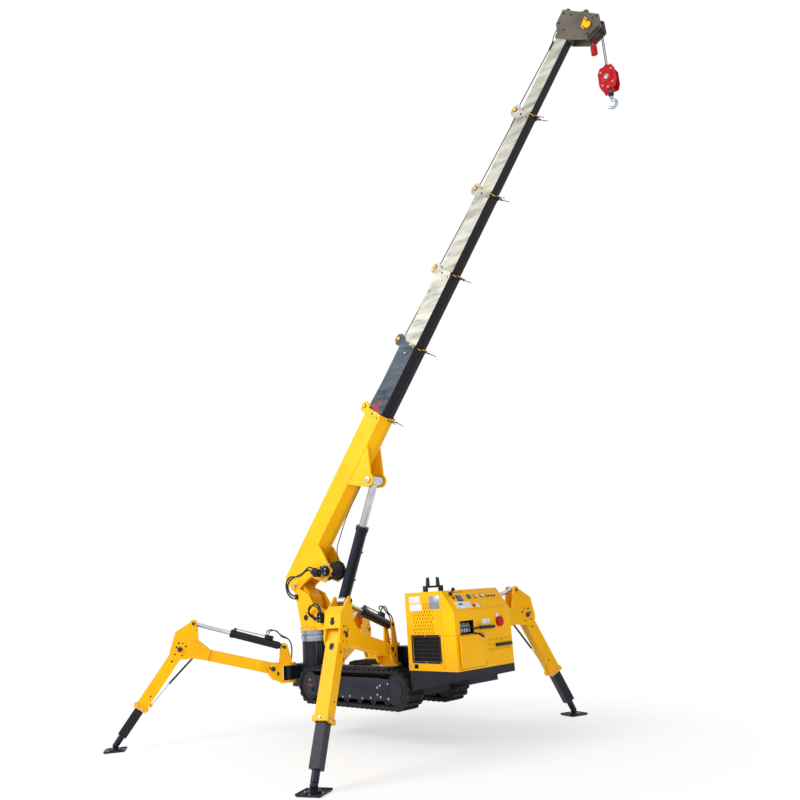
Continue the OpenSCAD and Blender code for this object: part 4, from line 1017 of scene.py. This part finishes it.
class EngineHouse(Assembly):
    """Blank plates, rivets, mesh, console, valves, levers and lamp of the engine cover."""

    FACE = 0.400
    REAR = -1.054

    def dress(self) -> None:
        """Dress the sides, the sloping console and the rear face."""
        world = Matrix.Identity(4)
        self.sides(world)
        self.console()
        self.rear(world)

    def sides(self, world: Matrix) -> None:
        """Rivet the sides, frame the radiator mesh and fix the blank plates on the near side."""
        white, grey, steel, dark, seam = Shape(), Shape(), Shape(), Shape(), Shape()
        y = self.FACE
        for x0, x1, z0, z1 in ((-0.622, -0.473, 1.346, 1.409), (-0.641, -0.476, 1.274, 1.338)):
            white.box((x0, y - 0.001, z0), (x1, y + 0.0015, z1), 0.0008)
        grey.box((-0.877, y - 0.001, 1.287), (-0.742, y + 0.0015, 1.404), 0.0008)
        for x0, x1, z0, z1 in ((-0.622, -0.473, 1.346, 1.409), (-0.641, -0.476, 1.274, 1.338),
                               (-0.877, -0.742, 1.287, 1.404)):
            for x in (x0 + 0.007, x1 - 0.007):
                for z in (z0 + 0.007, z1 - 0.007):
                    steel.rod((x, y, z), (x, y + 0.003, z), 0.003, 10)
        for side in Side:
            s = side.value
            for x, z in ((-0.927, 1.296), (-0.923, 1.256), (-0.895, 1.196), (-0.897, 1.030), (-1.020, 1.030),
                         (-1.010, 1.197), (-0.440, 1.420), (-0.440, 0.770), (-1.030, 0.770), (-0.900, 0.770)):
                steel.rod((x, s * y, z), (x, s * (y + 0.003), z), 0.005, 12, 0.0008)
            y0, y1 = sorted((s * (y - 0.001), s * (y + 0.004)))
            for low, high in (((-0.862, 0.800), (-0.472, 0.816)), ((-0.862, 1.039), (-0.472, 1.055)),
                              ((-0.862, 0.800), (-0.846, 1.055)), ((-0.488, 0.800), (-0.472, 1.055))):
                dark.box((low[0], y0, low[1]), (high[0], y1, high[1]), 0.001)
            for x in (-0.854, -0.667, -0.480):
                for z in (0.808, 1.047):
                    steel.bolt((x, s * (y + 0.004), z), (0, s, 0), 0.0055, 0.005)
            y0, y1 = sorted((s * (y - 0.030), s * (y - 0.026)))
            dark.box((-0.858, y0, 0.806), (-0.476, y1, 1.050))
            dark.box((-0.800, y0, 1.056), (-0.480, y1, 1.360))
            y0, y1 = sorted((s * y, s * (y + 0.0006)))
            seam.box((-1.052, y0, 1.0465), (-0.893, y1, 1.0485))
            seam.box((-0.894, y0, 0.745), (-0.892, y1, 1.446))
        self.add(white, "blank_plates", world, "blank_label", "undercarriage", "panel_sheet")
        self.add(grey, "dotted_plate", world, "machined_steel", "undercarriage", "bare_steel")
        self.add(steel, "cover_rivets", world, "zinc_plate", "undercarriage", "bare_steel")
        self.add(dark, "mesh_frames", world, "satin_black_enamel", "undercarriage", "black_paint")
        self.add(seam, "cover_seams", world, "head_enamel", "undercarriage", "black_paint")

    def console(self) -> None:
        """Set the screen, gauges, key, lever and blank sheet on the sloping panel."""
        down = Vector((-0.147, 0, -0.195)).normalized()
        slope = self.places._frame(Vector((-0.907, 0, 1.447)), down, Vector((0, -1, 0)))
        dark, white, blue, red, steel = Shape(), Shape(), Shape(), Shape(), Shape()
        top = 0.008
        dark.rod((0.052, -0.315, top - 0.002), (0.052, -0.315, top + 0.012), 0.022, 20, 0.003)
        dark.rod((0.052, -0.315, top + 0.010), (0.044, -0.315, top + 0.052), 0.006, 14)
        dark.ball((0.042, -0.315, top + 0.060), 0.018)
        red.box((0.090, -0.325, top - 0.001), (0.110, -0.300, top + 0.020), 0.004)
        dark.box((0.070, -0.262, top - 0.001), (0.135, -0.190, top + 0.006), 0.003)
        blue.box((0.076, -0.255, top + 0.005), (0.129, -0.197, top + 0.0075), 0.001)
        for y, r in ((-0.087, 0.026), (0.008, 0.022), (0.100, 0.022)):
            dark.rod((0.092, y, top - 0.001), (0.092, y, top + 0.008), r, 28, 0.002)
            (blue if y < -0.05 else white).rod((0.092, y, top + 0.007), (0.092, y, top + 0.0095), r * 0.82, 28)
            dark.box((0.082, y - 0.0015, top + 0.009), (0.095, y + 0.0015, top + 0.0105))
        white.box((0.142, -0.325, top - 0.001), (0.218, -0.120, top + 0.0015), 0.0008)
        blue.box((0.160, -0.290, top + 0.001), (0.182, -0.235, top + 0.0022))
        dark.box((0.030, -0.326, top - 0.001), (0.034, -0.130, top + 0.002))
        red.box((0.186, -0.108, top - 0.001), (0.208, -0.084, top + 0.014), 0.003)
        white.box((0.180, -0.062, top - 0.001), (0.216, -0.018, top + 0.0015), 0.0006)
        for y in (0.165, 0.205, 0.245, 0.285):
            dark.rod((0.100, y, top - 0.001), (0.100, y, top + 0.006), 0.011, 18, 0.001)
            steel.rod((0.100, y, top + 0.005), (0.094, y, top + 0.028), 0.0035, 10, 0.001)
        for t in (0.030, 0.214):
            for y in (-0.318, 0.0, 0.318):
                steel.bolt((t, y, top), (0, 0, 1), 0.006, 0.005)
        self.add(dark, "console_controls", slope, "satin_black_enamel", "undercarriage", "black_paint")
        self.add(white, "console_sheets", slope, "blank_label", "undercarriage", "panel_sheet")
        self.add(blue, "console_screens", slope, "screen_blue", "undercarriage", "blue_grey_paint")
        self.add(red, "console_switches", slope, "red_enamel", "undercarriage", "red_paint")
        self.add(steel, "console_toggles", slope, "zinc_plate", "undercarriage", "bare_steel")

    def rear(self, world: Matrix) -> None:
        """Fill the valve recess, and add its levers, the tag, the lamp, the handle and the fixings, with thin dark
        lines of painted shade round the raised plate.
        """
        x = self.REAR
        dark, steel, white, red, pale = Shape(), Shape(), Shape(), Shape(), Shape()
        dark.box((x + 0.060, 0.134, 1.036), (x + 0.066, 0.341, 1.178))
        for low, high in (((0.134, 1.036), (0.142, 1.178)), ((0.333, 1.036), (0.341, 1.178)),
                          ((0.134, 1.036), (0.341, 1.044)), ((0.134, 1.170), (0.341, 1.178))):
            dark.box((x + 0.006, low[0], low[1]), (x + 0.062, high[0], high[1]))
        for n in range(5):
            y = 0.172 + 0.034 * n
            steel.box((x + 0.030, y - 0.012, 1.062), (x + 0.061, y + 0.012, 1.128), 0.003)
            steel.rod((x + 0.032, y, 1.100), (x + 0.006, y, 1.108), 0.006, 14, 0.001)
            dark.ball((x + 0.004, y, 1.109), 0.009)
            steel.rod((x + 0.045, y, 1.126), (x + 0.045, y, 1.146), 0.007, 6, 0.001)
        dark.rod((x + 0.010, 0.160, 1.086), (x - 0.024, 0.085, 1.096), 0.008, 14, 0.001)
        dark.rod((x - 0.024, 0.088, 1.096), (x - 0.026, -0.122, 1.090), 0.0145, 20, 0.004)
        dark.rod((x + 0.010, 0.150, 1.056), (x - 0.024, 0.105, 1.040), 0.006, 14, 0.001)
        dark.rod((x - 0.024, 0.108, 1.041), (x - 0.028, 0.045, 1.012), 0.011, 18, 0.003)
        white.box((x - 0.0015, -0.090, 1.118), (x + 0.001, 0.022, 1.166), 0.0006)
        red.rod((x + 0.002, -0.222, 1.132), (x - 0.030, -0.222, 1.132), 0.047, 32, 0.008)
        pale.rod((x + 0.002, -0.190, 1.192), (x - 0.018, -0.190, 1.192), 0.020, 24, 0.004)
        dark.box((x - 0.016, -0.384, 0.905), (x + 0.001, -0.146, 0.933), 0.004)
        dark.box((x - 0.0006, -0.0010, 0.745), (x + 0.001, 0.0010, 1.042))
        # Thin dark lines of painted shade round the edges of the raised plate on the rear face.
        for low, high in (((0.0225, 0.752), (0.0255, 1.042)), ((0.3615, 0.752), (0.3645, 1.042)),
                          ((0.0225, 0.748), (0.3645, 0.751)), ((0.0225, 1.0415), (0.3645, 1.0435))):
            dark.box((x - 0.0008, low[0], low[1]), (x + 0.001, high[0], high[1]))
        for y, z in ((0.110, 1.052), (0.200, 1.036), (0.290, 1.036), (0.350, 1.052), (-0.380, 0.770), (-0.380, 1.200),
                     (0.380, 1.200), (0.385, 0.770), (-0.020, 0.770), (-0.020, 1.020)):
            bump = -0.004 if z == 1.036 else 0.0
            steel.rod((x + 0.001, y, z + (0.008 if bump else 0)), (x - 0.003, y, z + (0.008 if bump else 0)), 0.005, 12)
        for y in (0.045, 0.342):
            for z in (0.850, 0.990):
                steel.bolt((x - 0.026, y, z), (-1, 0, 0), 0.006, 0.005)
        self.add(dark, "rear_levers_and_shade_lines", world, "satin_black_enamel", "undercarriage", "black_paint")
        self.add(steel, "rear_valves", world, "zinc_plate", "undercarriage", "bare_steel")
        self.add(white, "rear_tag", world, "blank_label", "undercarriage", "panel_sheet")
        self.add(red, "stop_lamp", world, "red_enamel", "undercarriage", "red_paint")
        self.add(pale, "stop_lamp_cap", world, "blank_label", "undercarriage", "panel_sheet")


class Studio:
    """Pale floor, soft light and the camera of the photograph."""

    CAMERA = (-5.9108, 5.6046, 1.4442)
    RIGHT = (-0.68203, -0.72857, -0.06337)
    UP = (-0.22512, 0.12671, 0.96606)
    LENS_MM = 33.67

    def floor(self) -> None:
        """Lay the floor, seen white by the camera and by reflections, that still takes the shadow."""
        shape = Shape().box((-40, -40, -0.02), (40, 40, 0.0))
        material = bpy.data.materials.new("pale_floor")
        material.use_nodes = True
        tree = material.node_tree
        shader = tree.nodes["Principled BSDF"]
        shader.inputs["Base Color"].default_value = hex_to_linear("FFFFFF")
        shader.inputs["Roughness"].default_value = 0.9
        shader.inputs["Specular IOR Level"].default_value = 0.1
        place = add_node(tree, "ShaderNodeTexCoord").outputs["Object"]
        reach = add_node(tree, "ShaderNodeVectorMath", {"operation": "LENGTH"}, links={0: place}).outputs["Value"]
        far = add_node(tree, "ShaderNodeMapRange", inputs={1: 1.2, 2: 3.4, 3: 0.55, 4: 1.0},
                       links={0: reach}).outputs[0]
        path = add_node(tree, "ShaderNodeLightPath").outputs
        seen = add_node(tree, "ShaderNodeMath", {"operation": "MAXIMUM"},
                        links={0: path["Is Camera Ray"], 1: path["Is Glossy Ray"]}).outputs[0]
        share = add_node(tree, "ShaderNodeMath", {"operation": "MULTIPLY"}, links={0: far, 1: seen}).outputs[0]
        white = add_node(tree, "ShaderNodeEmission", inputs={"Color": (1, 1, 1, 1), "Strength": 1.0}).outputs[0]
        both = add_node(tree, "ShaderNodeMixShader", links={0: share, 1: shader.outputs[0], 2: white}).outputs[0]
        tree.links.new(both, tree.nodes["Material Output"].inputs["Surface"])
        shape.finish("studio_floor", Matrix.Identity(4), material)

    def sky(self) -> None:
        """Light the object softly and show white behind it."""
        world = bpy.data.worlds.new("studio_world")
        bpy.context.scene.world = world
        world.use_nodes = True
        tree = world.node_tree
        tree.nodes.clear()
        path = add_node(tree, "ShaderNodeLightPath").outputs
        seen = add_node(tree, "ShaderNodeMath", {"operation": "MAXIMUM"},
                        links={0: path["Is Camera Ray"], 1: path["Is Glossy Ray"]}).outputs[0]
        soft = add_node(tree, "ShaderNodeBackground", inputs={"Color": (1, 1, 1, 1), "Strength": 0.52}).outputs[0]
        white = add_node(tree, "ShaderNodeBackground", inputs={"Color": (1, 1, 1, 1), "Strength": 1.0}).outputs[0]
        both = add_node(tree, "ShaderNodeMixShader", links={0: seen, 1: soft, 2: white}).outputs[0]
        add_node(tree, "ShaderNodeOutputWorld", links={"Surface": both})

    def lamps(self) -> None:
        """Hang a large key lamp and a weaker fill."""
        for name, at, size, power, aim in (("key_lamp", (3.5, 11.0, 8.0), 6.0, 1280, (0, 0, 2.0)),
                                           ("fill_lamp", (-10.0, 3.0, 5.0), 6.0, 170, (0, 0, 2.0))):
            data = bpy.data.lights.new(name, "AREA")
            data.size = size
            data.energy = power
            lamp = bpy.data.objects.new(name, data)
            bpy.context.scene.collection.objects.link(lamp)
            lamp.location = at
            lamp.rotation_euler = (Vector(aim) - Vector(at)).to_track_quat("-Z", "Y").to_euler()

    def camera(self) -> None:
        """Stand the camera where the photograph was taken from."""
        right, up = Vector(self.RIGHT).normalized(), Vector(self.UP).normalized()
        turn = Matrix((right, up, right.cross(up))).transposed().to_4x4()
        data = bpy.data.cameras.new("photo_camera")
        data.sensor_width = 36.0
        data.lens = self.LENS_MM
        data.clip_end = 200.0
        camera = bpy.data.objects.new("photo_camera", data)
        bpy.context.scene.collection.objects.link(camera)
        camera.matrix_world = Matrix.Translation(self.CAMERA) @ turn
        bpy.context.scene.camera = camera
        bpy.context.scene.view_settings.view_transform = "Standard"


def main() -> None:
    """Dress the machine and set up the studio."""
    logging.basicConfig(level=logging.INFO, format="%(message)s")
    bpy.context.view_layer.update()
    places = Places({j["name"]: j for j in frame["joints"]})
    palette = Palette(places.boom())
    for kind in (NodeDresser, BoomRopes, SectionHeads, BoomHeadTrim, Winch, TurretDress, LuffCylinderDress,
                 HookTackle, OutriggerDress, UndercarriageDress, EngineHouse):
        kind(places, palette).dress()
    studio = Studio()
    studio.floor()
    studio.sky()
    studio.lamps()
    studio.camera()


if __name__ == "__main__":
    main()
